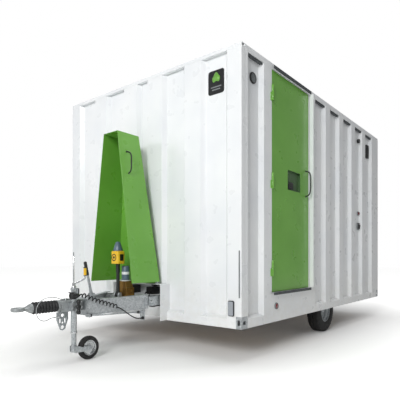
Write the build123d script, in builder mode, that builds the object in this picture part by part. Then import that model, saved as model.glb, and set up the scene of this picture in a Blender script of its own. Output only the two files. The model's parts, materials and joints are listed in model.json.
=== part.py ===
"""A towed site cabin: a corrugated steel body that lowers onto the ground, a side door, two road wheels
on a lifting axle, and a drawbar with a jockey wheel, under a hood that folds down over it.

Millimetres, +Z up. The origin is on the ground under the middle of the whole trailer. The drawbar points
to -Y, and the door is on the +X side.
"""

import os
from math import cos, radians, sin, tan

from build123d import *

os.makedirs("parts", exist_ok=True)

# ---- Driving sizes -------------------------------------------------------------------------------

BODY_WIDTH = 2300.0
BODY_LENGTH = 3600.0
BODY_HEIGHT = 2300.0
GROUND_CLEARANCE = 270.0
DRAWBAR_REACH = 1294.0  # front wall to the tip of the towing eye
REAR_REACH = 60.0  # rear wall to the outside of the lifting eyes

SHEET = 3.0  # wall, roof and folded steel sheet
WAVE_DEPTH = 38.0
WAVE_FLANK = 35.0
VALLEY = 280.0  # mouth of one corrugation
FRONT_PITCH = 466.0  # corrugation pitch of the front and rear walls
FRONT_MIDDLE = 404.0  # middle of the first full corrugation beside the narrow one
CENTRE_GROOVE = 152.0
SIDE_PITCH = 408.0  # corrugation pitch of the side walls
ROOF_WAVE = 20.0

RAIL_DEPTH = 60.0
RAIL_FACE = 75.0
RAIL_TOP = 95.0
RAIL_STEEL = 5.0
TOP_RAIL = 50.0
TOP_RAIL_END = 30.0  # height of the front and rear top rails
RAIL_WALL = 4.0
POST = 44.0
CORNER_BLOCK = (54.0, 90.0, 99.0)
CORNER_WALL = 8.0

FLOOR_BASE = 225.0  # underside of the floor above the bottom of the body
FLOOR_THICK = 25.0
LINING = 9.0
LINING_GAP = 4.0

DOOR_START = 485.0  # front wall to the door opening
DOOR_WIDTH = 760.0
DOOR_SILL = 265.0
DOOR_THICK = 38.0
DOOR_GAP = 4.0
JAMB_FRONT = 30.0
JAMB_REAR = 55.0
FRAME_DEPTH = 44.0
DOOR_PIN = 5.0
DOOR_KNUCKLE = 10.0
RECESS = (267.0, 187.0, 25.0)
RECESS_START = 305.0  # door opening to the near side of the lock recess
RECESS_BASE = 1215.0

TYRE_RADIUS = 240.0
TYRE_WIDTH = 145.0
RIM_RADIUS = 127.0
WHEEL_GAP = 3.0  # tyre to the corrugations of the wall outside it
AXLE_Y = 1815.0  # front wall to the wheel centres
SWING_RADIUS = 300.0
PIVOT_HEIGHT = 105.0  # axle pivot above the bottom of the body
AXLE_TUBE = 30.0
STUB = 20.0
ARCH = (249.0, 300.0, 320.0, 520.0)  # width, reach to the front, reach to the rear, top
RAM_LEVER = 75.0
RAM_PIN = 9.0

HOUSING_HALF = 330.0
HOUSING_TOP = 333.0
HOUSING_OUT = 83.0
HOUSING_IN = 120.0
HOUSING_STEEL = 4.0

HOOD_BASE_HALF = 286.0
HOOD_TOP_HALF = 96.0
HOOD_FRONT = 383.0  # front wall to the front edges of the hood
HOOD_TOP_BACK = 132.0
HOOD_PIN = (44.0, 347.0)  # ahead of the front wall, above the bottom of the body
HOOD_PIN_RADIUS = 7.0
HOOD_BOTTOM = 353.0
HOOD_TOP = 1700.0
HOOD_SHEET = 3.0

PIVOT_AHEAD = 170.0
PIVOT_X = 270.0
DRAWBAR_PIVOT = 185.0
PIVOT_PIN = 12.0
ARM_DEPTH = 125.0
ARM_FLANGE = 45.0
ARM_STEEL = 6.0
ARM_NOSE = (50.0, 692.0, 157.0)  # half spread, distance ahead and height of an arm's front end
SHAFT_HEIGHT = 190.0
SHAFT_RADIUS = 24.0
HEAD_BACK = 700.0
HEAD_FRONT = 928.0
HEAD_HALF = 45.0
HEAD_BASE = 138.0
HEAD_TOP = 231.0
COLLAR = (1135.0, 1195.0, 38.0)
EYE_RADIUS = 49.0
EYE_BORE = 20.0
EYE_THICK = 30.0

JOCKEY_X = 74.0
JOCKEY_AHEAD = 814.0
JOCKEY_TUBE = 24.0
JOCKEY_INNER = 20.0
JOCKEY_TOP = 315.0
JOCKEY_BOTTOM = -35.0
JOCKEY_WHEEL = 97.5
JOCKEY_TREAD = 50.0
JOCKEY_TRAIL = 140.0
CRANK_ARM = 100.0

RUNNING_FIT = 0.05  # radial clearance of a pin in its bore
CLEAR = 0.5  # gap between faces that slide past each other

# ---- Places that follow from the sizes -----------------------------------------------------------

FRONT = DRAWBAR_REACH - (DRAWBAR_REACH + BODY_LENGTH + REAR_REACH) / 2
REAR = FRONT + BODY_LENGTH
BASE = GROUND_CLEARANCE
TOP = BASE + BODY_HEIGHT
SIDE = BODY_WIDTH / 2
LINING_OUT = WAVE_DEPTH + SHEET + LINING_GAP
INSIDE = LINING_OUT + LINING
DOOR_END = DOOR_START + DOOR_WIDTH
FLOOR_TOP = FLOOR_BASE + FLOOR_THICK
WHEEL_Z = TYRE_RADIUS - GROUND_CLEARANCE  # wheel centre above the bottom of the body
PIVOT_Y = AXLE_Y - (SWING_RADIUS**2 - (PIVOT_HEIGHT - WHEEL_Z) ** 2) ** 0.5
WHEEL_OUT = SIDE - WAVE_DEPTH - SHEET - WHEEL_GAP  # middle of the body to the outer face of a tyre
WHEEL_X = WHEEL_OUT - TYRE_WIDTH / 2
ARCH_FRONT = AXLE_Y - ARCH[1]
ARCH_REAR = AXLE_Y + ARCH[2]
ARCH_IN = SIDE - WAVE_DEPTH - SHEET - ARCH[0]

MIDDLE = (Align.CENTER, Align.CENTER, Align.MIN)


def back(distance):
    """The y of a place this far behind the front wall."""
    return FRONT + distance


def ahead(distance):
    """The y of a place this far ahead of the front wall."""
    return FRONT - distance


def up(height):
    """The z of a place this far above the bottom of the body."""
    return BASE + height


def block(x, y, z, mode=Mode.ADD):
    """A box given by its two faces along each axis."""
    with Locations(((x[0] + x[1]) / 2, (y[0] + y[1]) / 2, (z[0] + z[1]) / 2)):
        Box(abs(x[1] - x[0]), abs(y[1] - y[0]), abs(z[1] - z[0]), mode=mode)


def rod(start, end, radius, mode=Mode.ADD):
    """A round bar, or a round hole, from one point to another."""
    along = Vector(*end) - Vector(*start)
    with Locations(Plane(origin=start, z_dir=along).location):
        Cylinder(radius, along.length, align=MIDDLE, mode=mode)


def prism(plane, outline, depth, mode=Mode.ADD, both=False):
    """The closed outline, drawn on the plane and pushed through by the depth."""
    with BuildSketch(plane) as profile:
        with BuildLine():
            Polyline(*outline, close=True)
        make_face()
    extrude(profile.sketch, amount=depth, both=both, mode=mode)


def turned(plane, outline, mode=Mode.ADD):
    """The closed outline spun about the plane's own x axis."""
    with BuildSketch(plane) as profile:
        with BuildLine():
            Polyline(*outline, close=True)
        make_face()
    revolve(profile.sketch, axis=Axis(plane.origin, plane.x_dir), mode=mode)


def wave(valleys, start, end, depth=WAVE_DEPTH, flank=WAVE_FLANK):
    """Outline of a corrugated sheet, along the wall and out from it, closed through its thickness."""
    face = [(start, 0.0)]
    for mouth in valleys:
        left, right = mouth
        face += [(left, 0.0), (left + flank, -depth), (right - flank, -depth), (right, 0.0)]
    face += [(end, 0.0)]
    return face + [(along, out - SHEET) for along, out in reversed(face)]


def even_valleys(first, pitch, limit):
    """Mouths of evenly spaced corrugations, as many as end before the limit."""
    mouths = []
    while first + VALLEY < limit:
        mouths.append((first, first + VALLEY))
        first += pitch
    return mouths


def facing(place, outward):
    """A plane on an upright face, with its x axis level and its y axis up."""
    return Plane(origin=place, x_dir=Vector(0, 0, 1).cross(Vector(*outward)), z_dir=outward)


def rail_outline(sign=1):
    """Section of a bottom rail: depth in from its outer face, and height."""
    lip = RAIL_TOP - RAIL_STEEL
    points = [
        (0.0, 0.0), (0.0, RAIL_FACE), (WAVE_DEPTH, RAIL_TOP), (RAIL_DEPTH, RAIL_TOP), (RAIL_DEPTH, lip),
        (WAVE_DEPTH + 1.0, lip), (RAIL_STEEL, RAIL_FACE - 3.0), (RAIL_STEEL, RAIL_STEEL),
        (RAIL_DEPTH, RAIL_STEEL), (RAIL_DEPTH, 0.0),
    ]
    return [(sign * depth, height) for depth, height in points]


def rail_room(sign=1):
    """Everything that a bottom rail fills, to be cut from what stands on it."""
    points = [(-1.0, 0.0), (-1.0, RAIL_FACE), (0.0, RAIL_FACE), (WAVE_DEPTH, RAIL_TOP)]
    points += [(RAIL_DEPTH, RAIL_TOP), (RAIL_DEPTH, 0.0)]
    return [(sign * depth, height) for depth, height in points]


# Planes that look along a rail: local x runs into the body, local y up, and the sketch is pushed to +.
FRONT_SECTION = Plane(origin=(0, FRONT, BASE), x_dir=(0, 1, 0), z_dir=(1, 0, 0))
REAR_SECTION = Plane(origin=(0, REAR, BASE), x_dir=(0, 1, 0), z_dir=(1, 0, 0))
DOOR_SECTION = Plane(origin=(SIDE, FRONT, BASE), x_dir=(1, 0, 0), z_dir=(0, -1, 0))
FAR_SECTION = Plane(origin=(-SIDE, FRONT, BASE), x_dir=(1, 0, 0), z_dir=(0, -1, 0))

# Planes of the wall sheets: local x runs along the wall, local y out of it.
FRONT_WALL = Plane(origin=(0, FRONT, TOP - TOP_RAIL_END), x_dir=(1, 0, 0), z_dir=(0, 0, -1))
REAR_WALL = Plane(origin=(0, REAR, BASE + RAIL_FACE), x_dir=(1, 0, 0), z_dir=(0, 0, 1))
DOOR_WALL = Plane(origin=(SIDE, FRONT, TOP - TOP_RAIL), x_dir=(0, 1, 0), z_dir=(0, 0, -1))
FAR_WALL = Plane(origin=(-SIDE, FRONT, BASE + RAIL_FACE), x_dir=(0, 1, 0), z_dir=(0, 0, 1))

pieces = {}

# ---- Base frame ----------------------------------------------------------------------------------

BLOCK_X, BLOCK_Y, BLOCK_Z = CORNER_BLOCK

with BuildPart() as side_rails:
    for section, sign in ((DOOR_SECTION, -1), (FAR_SECTION, 1)):
        start = section.offset(-BLOCK_Y)
        prism(start, rail_outline(sign), -(BODY_LENGTH - 2 * BLOCK_Y))
        reach = sorted((sign * 0.0, -sign * (SIDE - WAVE_DEPTH)))
        block(reach, (back(ARCH_FRONT), back(ARCH_REAR)), (BASE, up(RAIL_TOP)), Mode.SUBTRACT)
pieces["side_rails"] = side_rails

with BuildPart() as end_rails:
    for side in (-1, 1):
        start = FRONT_SECTION.offset(side * HOUSING_HALF)
        prism(start, rail_outline(), side * (SIDE - BLOCK_X - HOUSING_HALF))
    start = REAR_SECTION.offset(-(SIDE - BLOCK_X))
    prism(start, rail_outline(-1), 2 * (SIDE - BLOCK_X))
pieces["end_rails"] = end_rails

CROSS_WIDTH = 60.0
CROSS_PLACES = (300.0, 900.0, PIVOT_Y - 107.0, 2300.0, 2800.0, 3300.0)
CROSS_HALF = SIDE - RAIL_DEPTH
BRACKET_X = 650.0
BRACKET_THICK = 20.0

with BuildPart() as cross_members:
    for place in CROSS_PLACES:
        span = (back(place), back(place + CROSS_WIDTH))
        block((-CROSS_HALF, CROSS_HALF), span, (up(RAIL_TOP), up(FLOOR_BASE)))
        inner = (back(place + RAIL_WALL), back(place + CROSS_WIDTH - RAIL_WALL))
        inside = (up(RAIL_TOP + RAIL_WALL), up(FLOOR_BASE - RAIL_WALL))
        block((-CROSS_HALF, CROSS_HALF), inner, inside, Mode.SUBTRACT)
    for side in (-1, 1):
        span = sorted((side * (BRACKET_X - BRACKET_THICK / 2), side * (BRACKET_X + BRACKET_THICK / 2)))
        block(span, (back(PIVOT_Y - 47.0), back(PIVOT_Y + 50.0)), (up(50.0), up(200.0)))
        bore = (side * (BRACKET_X - BRACKET_THICK), back(PIVOT_Y), up(PIVOT_HEIGHT))
        far_end = (side * (BRACKET_X + BRACKET_THICK), back(PIVOT_Y), up(PIVOT_HEIGHT))
        rod(bore, far_end, AXLE_TUBE + RUNNING_FIT, Mode.SUBTRACT)
pieces["cross_members"] = cross_members

with BuildPart() as corner_blocks:
    for side in (-1, 1):
        for face, inward in ((FRONT, 1), (REAR, -1)):
            near = sorted((side * (SIDE - BLOCK_X), side * SIDE))
            deep = sorted((face, face + inward * BLOCK_Y))
            block(near, deep, (BASE, up(BLOCK_Z)))
            hollow_x = (near[0] + CORNER_WALL, near[1] - CORNER_WALL)
            hollow_y = (deep[0] + CORNER_WALL, deep[1] - CORNER_WALL)
            block(hollow_x, hollow_y, (up(CORNER_WALL), up(BLOCK_Z - CORNER_WALL)), Mode.SUBTRACT)
            middle_x = sum(near) / 2
            middle_y = sum(deep) / 2
            with BuildSketch(facing((middle_x, face, up(BLOCK_Z / 2)), (0, inward, 0))) as slot:
                SlotOverall(46.0, 26.0, rotation=90)
            extrude(slot.sketch, amount=CORNER_WALL + 1.0, mode=Mode.SUBTRACT)
            with BuildSketch(facing((side * SIDE, middle_y, up(BLOCK_Z / 2)), (-side, 0, 0))) as slot:
                SlotOverall(46.0, 30.0)
            extrude(slot.sketch, amount=CORNER_WALL + 1.0, mode=Mode.SUBTRACT)
            rod((middle_x, middle_y, BASE - 1.0), (middle_x, middle_y, up(CORNER_WALL + 1.0)), 12.0,
                Mode.SUBTRACT)
pieces["corner_blocks"] = corner_blocks

# ---- Posts, top rails, roof and floor ------------------------------------------------------------

with BuildPart() as corner_posts:
    for side in (-1, 1):
        for face, inward in ((FRONT, 1), (REAR, -1)):
            wide = sorted((side * (SIDE - POST), side * SIDE))
            deep = sorted((face, face + inward * POST))
            block(wide, deep, (up(BLOCK_Z), TOP - TOP_RAIL_END))
            wide = (wide[0] + RAIL_WALL, wide[1] - RAIL_WALL)
            deep = (deep[0] + RAIL_WALL, deep[1] - RAIL_WALL)
            block(wide, deep, (up(BLOCK_Z), TOP - TOP_RAIL_END), Mode.SUBTRACT)
pieces["corner_posts"] = corner_posts


def corner_room():
    """Cut the corner blocks' space out of what stands beside them."""
    for side in (-1, 1):
        for face, inward in ((FRONT, 1), (REAR, -1)):
            near = sorted((side * (SIDE - BLOCK_X), side * SIDE))
            deep = sorted((face, face + inward * BLOCK_Y))
            block(near, deep, (BASE, up(BLOCK_Z)), Mode.SUBTRACT)


def tube_rail(x, y, z, along):
    """A square tube between the given faces, hollow along its length."""
    block(x, y, z)
    shrink = [(a + RAIL_WALL, b - RAIL_WALL) for a, b in (x, y, z)]
    shrink[along] = (x, y, z)[along]
    block(*shrink, Mode.SUBTRACT)


with BuildPart() as top_rails:
    for face, inward in ((FRONT, 1), (REAR, -1)):
        deep = sorted((face, face + inward * TOP_RAIL))
        tube_rail((-SIDE, SIDE), deep, (TOP - TOP_RAIL_END, TOP), 0)
    for side in (-1, 1):
        wide = sorted((side * (SIDE - TOP_RAIL), side * SIDE))
        tube_rail(wide, (FRONT + TOP_RAIL, REAR - TOP_RAIL), (TOP - TOP_RAIL, TOP), 1)
pieces["top_rails"] = top_rails

ROOF_START = 130.0
ROOF_PLANE = Plane(origin=(-(SIDE - TOP_RAIL), FRONT, TOP - SHEET), x_dir=(0, 1, 0), z_dir=(1, 0, 0))

with BuildPart() as roof_panel:
    dips = even_valleys(ROOF_START, SIDE_PITCH, BODY_LENGTH - TOP_RAIL)
    outline = wave(dips, TOP_RAIL, BODY_LENGTH - TOP_RAIL, ROOF_WAVE)
    prism(ROOF_PLANE, outline, 2 * (SIDE - TOP_RAIL))
pieces["roof_panel"] = roof_panel


def arch_room(x_out, z, gap=0.0):
    """Cut away what stands where the wheels rise into the body."""
    for side in (-1, 1):
        span = sorted((side * (ARCH_IN - gap), side * x_out))
        block(span, (back(ARCH_FRONT - gap), back(ARCH_REAR + gap)), z, Mode.SUBTRACT)


def housing_room(low):
    """Cut away what stands where the hinge housing reaches in through the front wall."""
    half = HOUSING_HALF + CLEAR
    block((-half, half), (FRONT, back(HOUSING_IN + CLEAR)), (low, up(HOUSING_TOP + CLEAR)), Mode.SUBTRACT)


with BuildPart() as floor_deck:
    half = SIDE - LINING_OUT
    block((-half, half), (back(LINING_OUT), REAR - LINING_OUT), (up(FLOOR_BASE), up(FLOOR_TOP)))
    arch_room(SIDE, (up(FLOOR_BASE), up(FLOOR_TOP)))
    housing_room(up(FLOOR_BASE))
pieces["floor_deck"] = floor_deck

# ---- Walls ---------------------------------------------------------------------------------------

END_WIDTH = SIDE - POST
WALL_HEIGHT = BODY_HEIGHT - RAIL_FACE

# The middle corrugation of the front and rear walls is narrower than the four beside it.
END_MOUTHS = [(-CENTRE_GROOVE / 2, CENTRE_GROOVE / 2)]
for middle in (FRONT_MIDDLE, FRONT_MIDDLE + FRONT_PITCH):
    END_MOUTHS.append((middle - VALLEY / 2, middle + VALLEY / 2))
    END_MOUTHS.insert(0, (-middle - VALLEY / 2, -middle + VALLEY / 2))
FIRST_MOUTH = (96.0, 350.0)
SIDE_MOUTHS = [FIRST_MOUTH] + even_valleys(DOOR_END + 160.0, SIDE_PITCH, BODY_LENGTH - POST)
FAR_MOUTHS = even_valleys(SIDE_MOUTHS[1][0] - 3 * SIDE_PITCH, SIDE_PITCH, BODY_LENGTH - POST)

with BuildPart() as front_wall:
    prism(FRONT_WALL, wave(END_MOUTHS, -END_WIDTH, END_WIDTH), WALL_HEIGHT - TOP_RAIL_END)
    prism(FRONT_SECTION, rail_room(), END_WIDTH, Mode.SUBTRACT, both=True)
    opening = (HOUSING_HALF, HOUSING_TOP)
    block((-opening[0], opening[0]), (FRONT - 1.0, back(RAIL_DEPTH)), (BASE, up(opening[1])), Mode.SUBTRACT)
    corner_room()
pieces["front_wall"] = front_wall

with BuildPart() as rear_wall:
    prism(REAR_WALL, wave(END_MOUTHS, -END_WIDTH, END_WIDTH), WALL_HEIGHT - TOP_RAIL_END)
    prism(REAR_SECTION, rail_room(-1), END_WIDTH, Mode.SUBTRACT, both=True)
    corner_room()
pieces["rear_wall"] = rear_wall


def side_wall(plane, section, sign, mouths, start, end):
    """A side wall sheet between two places behind the front wall, standing on its bottom rail."""
    prism(plane, wave(mouths, start, end), WALL_HEIGHT - TOP_RAIL)
    prism(section, rail_room(sign), -BODY_LENGTH, Mode.SUBTRACT)
    corner_room()


with BuildPart() as far_side_wall:
    side_wall(FAR_WALL, FAR_SECTION, 1, FAR_MOUTHS, POST, BODY_LENGTH - POST)
pieces["far_side_wall"] = far_side_wall

with BuildPart() as door_side_wall_front:
    side_wall(DOOR_WALL, DOOR_SECTION, -1, SIDE_MOUTHS[:1], POST, DOOR_START - JAMB_FRONT)
    groove = (back(POST), back(POST + 32.0))
    block((SIDE - 1.5, SIDE + 1.0), groove, (BASE, TOP), Mode.SUBTRACT)
pieces["door_side_wall_front"] = door_side_wall_front

with BuildPart() as door_side_wall_rear:
    side_wall(DOOR_WALL, DOOR_SECTION, -1, SIDE_MOUTHS[1:], DOOR_END + JAMB_REAR, BODY_LENGTH - POST)
pieces["door_side_wall_rear"] = door_side_wall_rear

with BuildPart() as interior_lining:
    low, high = up(FLOOR_TOP), TOP - TOP_RAIL - 30.0
    wide = SIDE - LINING_OUT
    block((-wide + LINING, wide - LINING), (back(LINING_OUT), back(INSIDE)), (low, high))
    block((-wide + LINING, wide - LINING), (REAR - INSIDE, REAR - LINING_OUT), (low, high))
    block((-wide, -wide + LINING), (back(LINING_OUT), REAR - LINING_OUT), (low, high))
    block((wide - LINING, wide), (back(LINING_OUT), back(DOOR_START - JAMB_FRONT)), (low, high))
    block((wide - LINING, wide), (back(DOOR_END + JAMB_REAR), REAR - LINING_OUT), (low, high))
    block((-wide, wide), (back(LINING_OUT), REAR - LINING_OUT), (high, high + LINING))
    arch_room(SIDE, (low - 1.0, up(ARCH[3] + CLEAR)), CLEAR)
    housing_room(low - 1.0)
pieces["interior_lining"] = interior_lining

with BuildPart() as wheel_arches:
    outer = SIDE - WAVE_DEPTH - SHEET
    for side in (-1, 1):
        wide = sorted((side * ARCH_IN, side * outer))
        block(wide, (back(ARCH_FRONT), back(ARCH_REAR)), (up(FLOOR_BASE), up(ARCH[3])))
        wide = sorted((side * (ARCH_IN + SHEET), side * (outer + 1.0)))
        hollow = (back(ARCH_FRONT + SHEET), back(ARCH_REAR - SHEET))
        block(wide, hollow, (up(FLOOR_BASE), up(ARCH[3] - SHEET)), Mode.SUBTRACT)
pieces["wheel_arches"] = wheel_arches

# ---- Door frame and the panel under the door ----------------------------------------------------

STAPLE_SET = 18.0  # door opening to the near face of the staple
STAPLE_THICK = 8.0
STAPLE_REACH = 30.0
STAPLE_BASE = 1095.0
STAPLE_TOP = 1220.0
STAPLE_HOLE = (18.0, 1180.0, 7.0)  # out from the wall, above the body's bottom, radius

with BuildPart() as door_frame:
    depth = (SIDE - FRAME_DEPTH, SIDE)
    head = TOP - TOP_RAIL
    block(depth, (back(DOOR_START - JAMB_FRONT), back(DOOR_START)), (up(FLOOR_TOP), head))
    block(depth, (back(DOOR_END), back(DOOR_END + JAMB_REAR)), (up(FLOOR_TOP), head))
    block(depth, (back(DOOR_START), back(DOOR_END)), (up(FLOOR_TOP), up(DOOR_SILL)))
    # The staple for a padlock, welded to the rear jamb.
    staple = (back(DOOR_END + STAPLE_SET), back(DOOR_END + STAPLE_SET + STAPLE_THICK))
    block((SIDE, SIDE + STAPLE_REACH), staple, (up(STAPLE_BASE), up(STAPLE_TOP)))
    start = (SIDE + STAPLE_HOLE[0], staple[0] - 1.0, up(STAPLE_HOLE[1]))
    rod(start, (start[0], staple[1] + 1.0, start[2]), STAPLE_HOLE[2], Mode.SUBTRACT)
pieces["door_frame"] = door_frame

with BuildPart() as threshold_panel:
    span = (back(DOOR_START - JAMB_FRONT), back(DOOR_END + JAMB_REAR))
    block((SIDE - SHEET, SIDE), span, (up(RAIL_FACE), up(FLOOR_TOP)))
    prism(DOOR_SECTION, rail_room(-1), -BODY_LENGTH, Mode.SUBTRACT)
pieces["threshold_panel"] = threshold_panel

# ---- Door ----------------------------------------------------------------------------------------

DOOR_FACE = SIDE - 2.0
HINGE_X = SIDE + DOOR_KNUCKLE
HINGE_Y = DOOR_START
HINGE_HEIGHTS = (480.0, 1257.0, 2034.0)
KNUCKLE_HALF = 35.0

with BuildPart() as door_hinge_pins:
    for height in HINGE_HEIGHTS:
        low = (HINGE_X, back(HINGE_Y), up(height - 2 * KNUCKLE_HALF))
        joint = (HINGE_X, back(HINGE_Y), up(height))
        top = (HINGE_X, back(HINGE_Y), up(height + 2 * KNUCKLE_HALF))
        rod(low, joint, DOOR_KNUCKLE)
        rod(joint, top, DOOR_PIN)
        block((SIDE, HINGE_X), (back(HINGE_Y - 24.0), back(HINGE_Y - 1.0)), (low[2], joint[2]))
pieces["door_hinge_pins"] = door_hinge_pins

with BuildPart() as door_leaf:
    leaf_y = (back(DOOR_START + DOOR_GAP), back(DOOR_END - DOOR_GAP))
    leaf_z = (up(DOOR_SILL + DOOR_GAP), TOP - TOP_RAIL - 2 * DOOR_GAP)
    block((DOOR_FACE - DOOR_THICK, DOOR_FACE), leaf_y, leaf_z)
    hollow = [(low + SHEET, high - SHEET) for low, high in (leaf_y, leaf_z)]
    block((DOOR_FACE - DOOR_THICK - 1.0, DOOR_FACE - SHEET), *hollow, Mode.SUBTRACT)
    start = DOOR_START + RECESS_START
    pocket = (back(start), back(start + RECESS[0]))
    pocket_z = (up(RECESS_BASE), up(RECESS_BASE + RECESS[1]))
    block((DOOR_FACE - RECESS[2], DOOR_FACE), pocket, pocket_z, Mode.SUBTRACT)
    for height in HINGE_HEIGHTS:
        low = (HINGE_X, back(HINGE_Y), up(height + CLEAR))
        top = (HINGE_X, back(HINGE_Y), up(height + 2 * KNUCKLE_HALF))
        block((DOOR_FACE, HINGE_X - 3.0), (back(HINGE_Y + 4.0), back(HINGE_Y + 46.0)), (low[2], top[2]))
        rod(low, top, DOOR_KNUCKLE)
        rod(low, top, DOOR_PIN + RUNNING_FIT, Mode.SUBTRACT)
pieces["door_leaf"] = door_leaf

PAN = 3.0  # sheet of the recess
EARS = (20.0, 126.0)  # near faces of the two ears that carry the paddle's pin, from the recess's near side
EAR = 6.0
EAR_SPAN = (60.0, 84.0)
PADDLE_PIN = (11.0, 74.0, 3.0)  # out from the pan, above the recess's bottom, radius
PADDLE_DROP = 60.0

with BuildPart() as latch_recess:
    wall = (DOOR_FACE - RECESS[2], DOOR_FACE - 1.0)
    block(wall, pocket, pocket_z)
    inside_y = (pocket[0] + PAN, pocket[1] - PAN)
    inside_z = (pocket_z[0] + PAN, pocket_z[1] - PAN)
    block((wall[0] + PAN, wall[1]), inside_y, inside_z, Mode.SUBTRACT)
    ear_z = [up(RECESS_BASE + height) for height in EAR_SPAN]
    for place in EARS:
        block((wall[0] + PAN, wall[1] - 4.0), (pocket[0] + place, pocket[0] + place + EAR), ear_z)
    pin_x = wall[0] + PAN + PADDLE_PIN[0]
    pin_z = up(RECESS_BASE + PADDLE_PIN[1])
    rod((pin_x, pocket[0] + EARS[0], pin_z), (pin_x, pocket[0] + EARS[1] + EAR, pin_z), PADDLE_PIN[2])
pieces["latch_recess"] = latch_recess

with BuildPart() as latch_paddle:
    span = (pocket[0] + EARS[0] + EAR + CLEAR, pocket[0] + EARS[1] - CLEAR)
    rod((pin_x, span[0], pin_z), (pin_x, span[1], pin_z), 2 * PADDLE_PIN[2])
    block((pin_x - 2.0, pin_x + 4.0), span, (pin_z - PADDLE_DROP, pin_z))
    bore = PADDLE_PIN[2] + RUNNING_FIT
    rod((pin_x, span[0] - 1.0, pin_z), (pin_x, span[1] + 1.0, pin_z), bore, Mode.SUBTRACT)
pieces["latch_paddle"] = latch_paddle


def grab_handle(plane, span, stand_off, radius):
    """A round bar bent to a D, standing on the plane along its local y, with a foot at each end."""
    bend = 3 * radius
    with BuildPart(mode=Mode.PRIVATE) as bar:
        with BuildLine(plane) as path:
            FilletPolyline((0, -span / 2, 0), (0, -span / 2, stand_off), (0, span / 2, stand_off),
                           (0, span / 2, 0), radius=bend)
        with BuildSketch(Plane(origin=path.line @ 0, z_dir=path.line % 0)) as section:
            Circle(radius)
        sweep(section.sketch, path=path.line)
        for end in (-span / 2, span / 2):
            with Locations((plane * Location((0, end, 0)))):
                Cylinder(2.2 * radius, 5.0, align=MIDDLE)
    return bar.part


PULL_PLACE = (DOOR_FACE, back(1180.0), up(1320.0))

door_pull_handle = grab_handle(Plane(origin=PULL_PLACE, x_dir=(0, 1, 0), z_dir=(1, 0, 0)), 240.0, 50.0, 8.0)
pieces["door_pull_handle"] = door_pull_handle

# ---- Service fittings on the walls, lamps and plates --------------------------------------------

FLOOR_X = SIDE - WAVE_DEPTH  # outer face of the corrugations' floors

# Each fitting: behind the front wall, and above the body's bottom.
VENT = (sum(FIRST_MOUTH) / 2, 2087.0)
VENT_SIZE = (48.0, 40.0, 14.0, 6.0)  # outer and inner radius, stand-off, floor
FLUE = (SIDE_MOUTHS[-2][0] + 203.0, 2111.0)
FLUE_SIZE = (27.0, 23.0, 30.0, 6.0)
LOUVRE = (SIDE_MOUTHS[-1][0] + 158.0, 2041.0)
LOUVRE_SIZE = (90.0, 178.0, 22.0)  # width, height, stand-off
SLOTS = (6, 26.0, 13.0, 68.0)  # number, pitch, height and width of the louvre's slots
STOP_BUTTON = (SIDE_MOUTHS[-2][0] + 211.0, 1153.0)
STOP_BUTTON_SIZE = (54.0, 54.0, 24.0)
POWER_INLET = (SIDE_MOUTHS[-2][0] + 201.0, 982.0)
POWER_INLET_SIZE = (66.0, 90.0, 34.0)


def wall_box(place, size):
    """A box on the floor of a corrugation: the middle of its back, then its width, height and depth."""
    middle_y, middle_z = back(place[0]), up(place[1])
    wide, high, deep = size
    across = (middle_y - wide / 2, middle_y + wide / 2)
    block((FLOOR_X, FLOOR_X + deep), across, (middle_z - high / 2, middle_z + high / 2))


def wall_cup(place, size):
    """A round cup on the floor of a corrugation, open to the outside."""
    centre = (back(place[0]), up(place[1]))
    outer, inner, deep, floor = size
    rod((FLOOR_X, *centre), (FLOOR_X + deep, *centre), outer)
    rod((FLOOR_X + floor, *centre), (FLOOR_X + deep + 1.0, *centre), inner, Mode.SUBTRACT)


with BuildPart() as wall_fittings:
    wall_cup(VENT, VENT_SIZE)
    wall_cup(FLUE, FLUE_SIZE)
    wall_box(STOP_BUTTON, STOP_BUTTON_SIZE)
    wall_box(POWER_INLET, POWER_INLET_SIZE)
    wall_box(LOUVRE, LOUVRE_SIZE)
    count, pitch, high, wide = SLOTS
    for step in range(count):
        middle = up(LOUVRE[1]) + (step - (count - 1) / 2) * pitch
        across = (back(LOUVRE[0]) - wide / 2, back(LOUVRE[0]) + wide / 2)
        block((FLOOR_X + 8.0, SIDE), across, (middle - high / 2, middle + high / 2), Mode.SUBTRACT)
pieces["wall_fittings"] = wall_fittings

FRONT_LAMP = (61.0, 128.0, 18.0)  # width, height and depth of a front marker lamp
FRONT_LAMP_X = 1052.0
FRONT_LAMP_BASE = 99.0
SIDE_LAMP = (140.0, 30.0)  # above the body's bottom, radius
SIDE_LAMP_PLACES = {1: DOOR_START + 76.0, -1: FAR_MOUTHS[0][1] + 100.0}  # behind the front wall
TAIL_LAMP = (210.0, 90.0, 34.0)

with BuildPart() as lamps:
    for side in (-1, 1):
        middle_z = up(FRONT_LAMP_BASE + FRONT_LAMP[1] / 2)
        with BuildSketch(facing((side * FRONT_LAMP_X, FRONT, middle_z), (0, -1, 0))) as face:
            RectangleRounded(FRONT_LAMP[0], FRONT_LAMP[1], 14.0)
        extrude(face.sketch, amount=FRONT_LAMP[2])
        place = (side * SIDE, back(SIDE_LAMP_PLACES[side]), up(SIDE_LAMP[0]))
        rod(place, (place[0] + side * 12.0, place[1], place[2]), SIDE_LAMP[1])
        wide = sorted((side * 800.0, side * (800.0 + TAIL_LAMP[0])))
        block(wide, (REAR, REAR + TAIL_LAMP[2]), (up(RAIL_TOP + 20.0), up(RAIL_TOP + 20.0 + TAIL_LAMP[1])))
pieces["lamps"] = lamps

PLAQUE = (167.0, 203.0, 24.0)  # width, height and corner radius
PLAQUE_X = 870.0
PLAQUE_BASE = 1956.0
PLATE = 3.0

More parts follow.
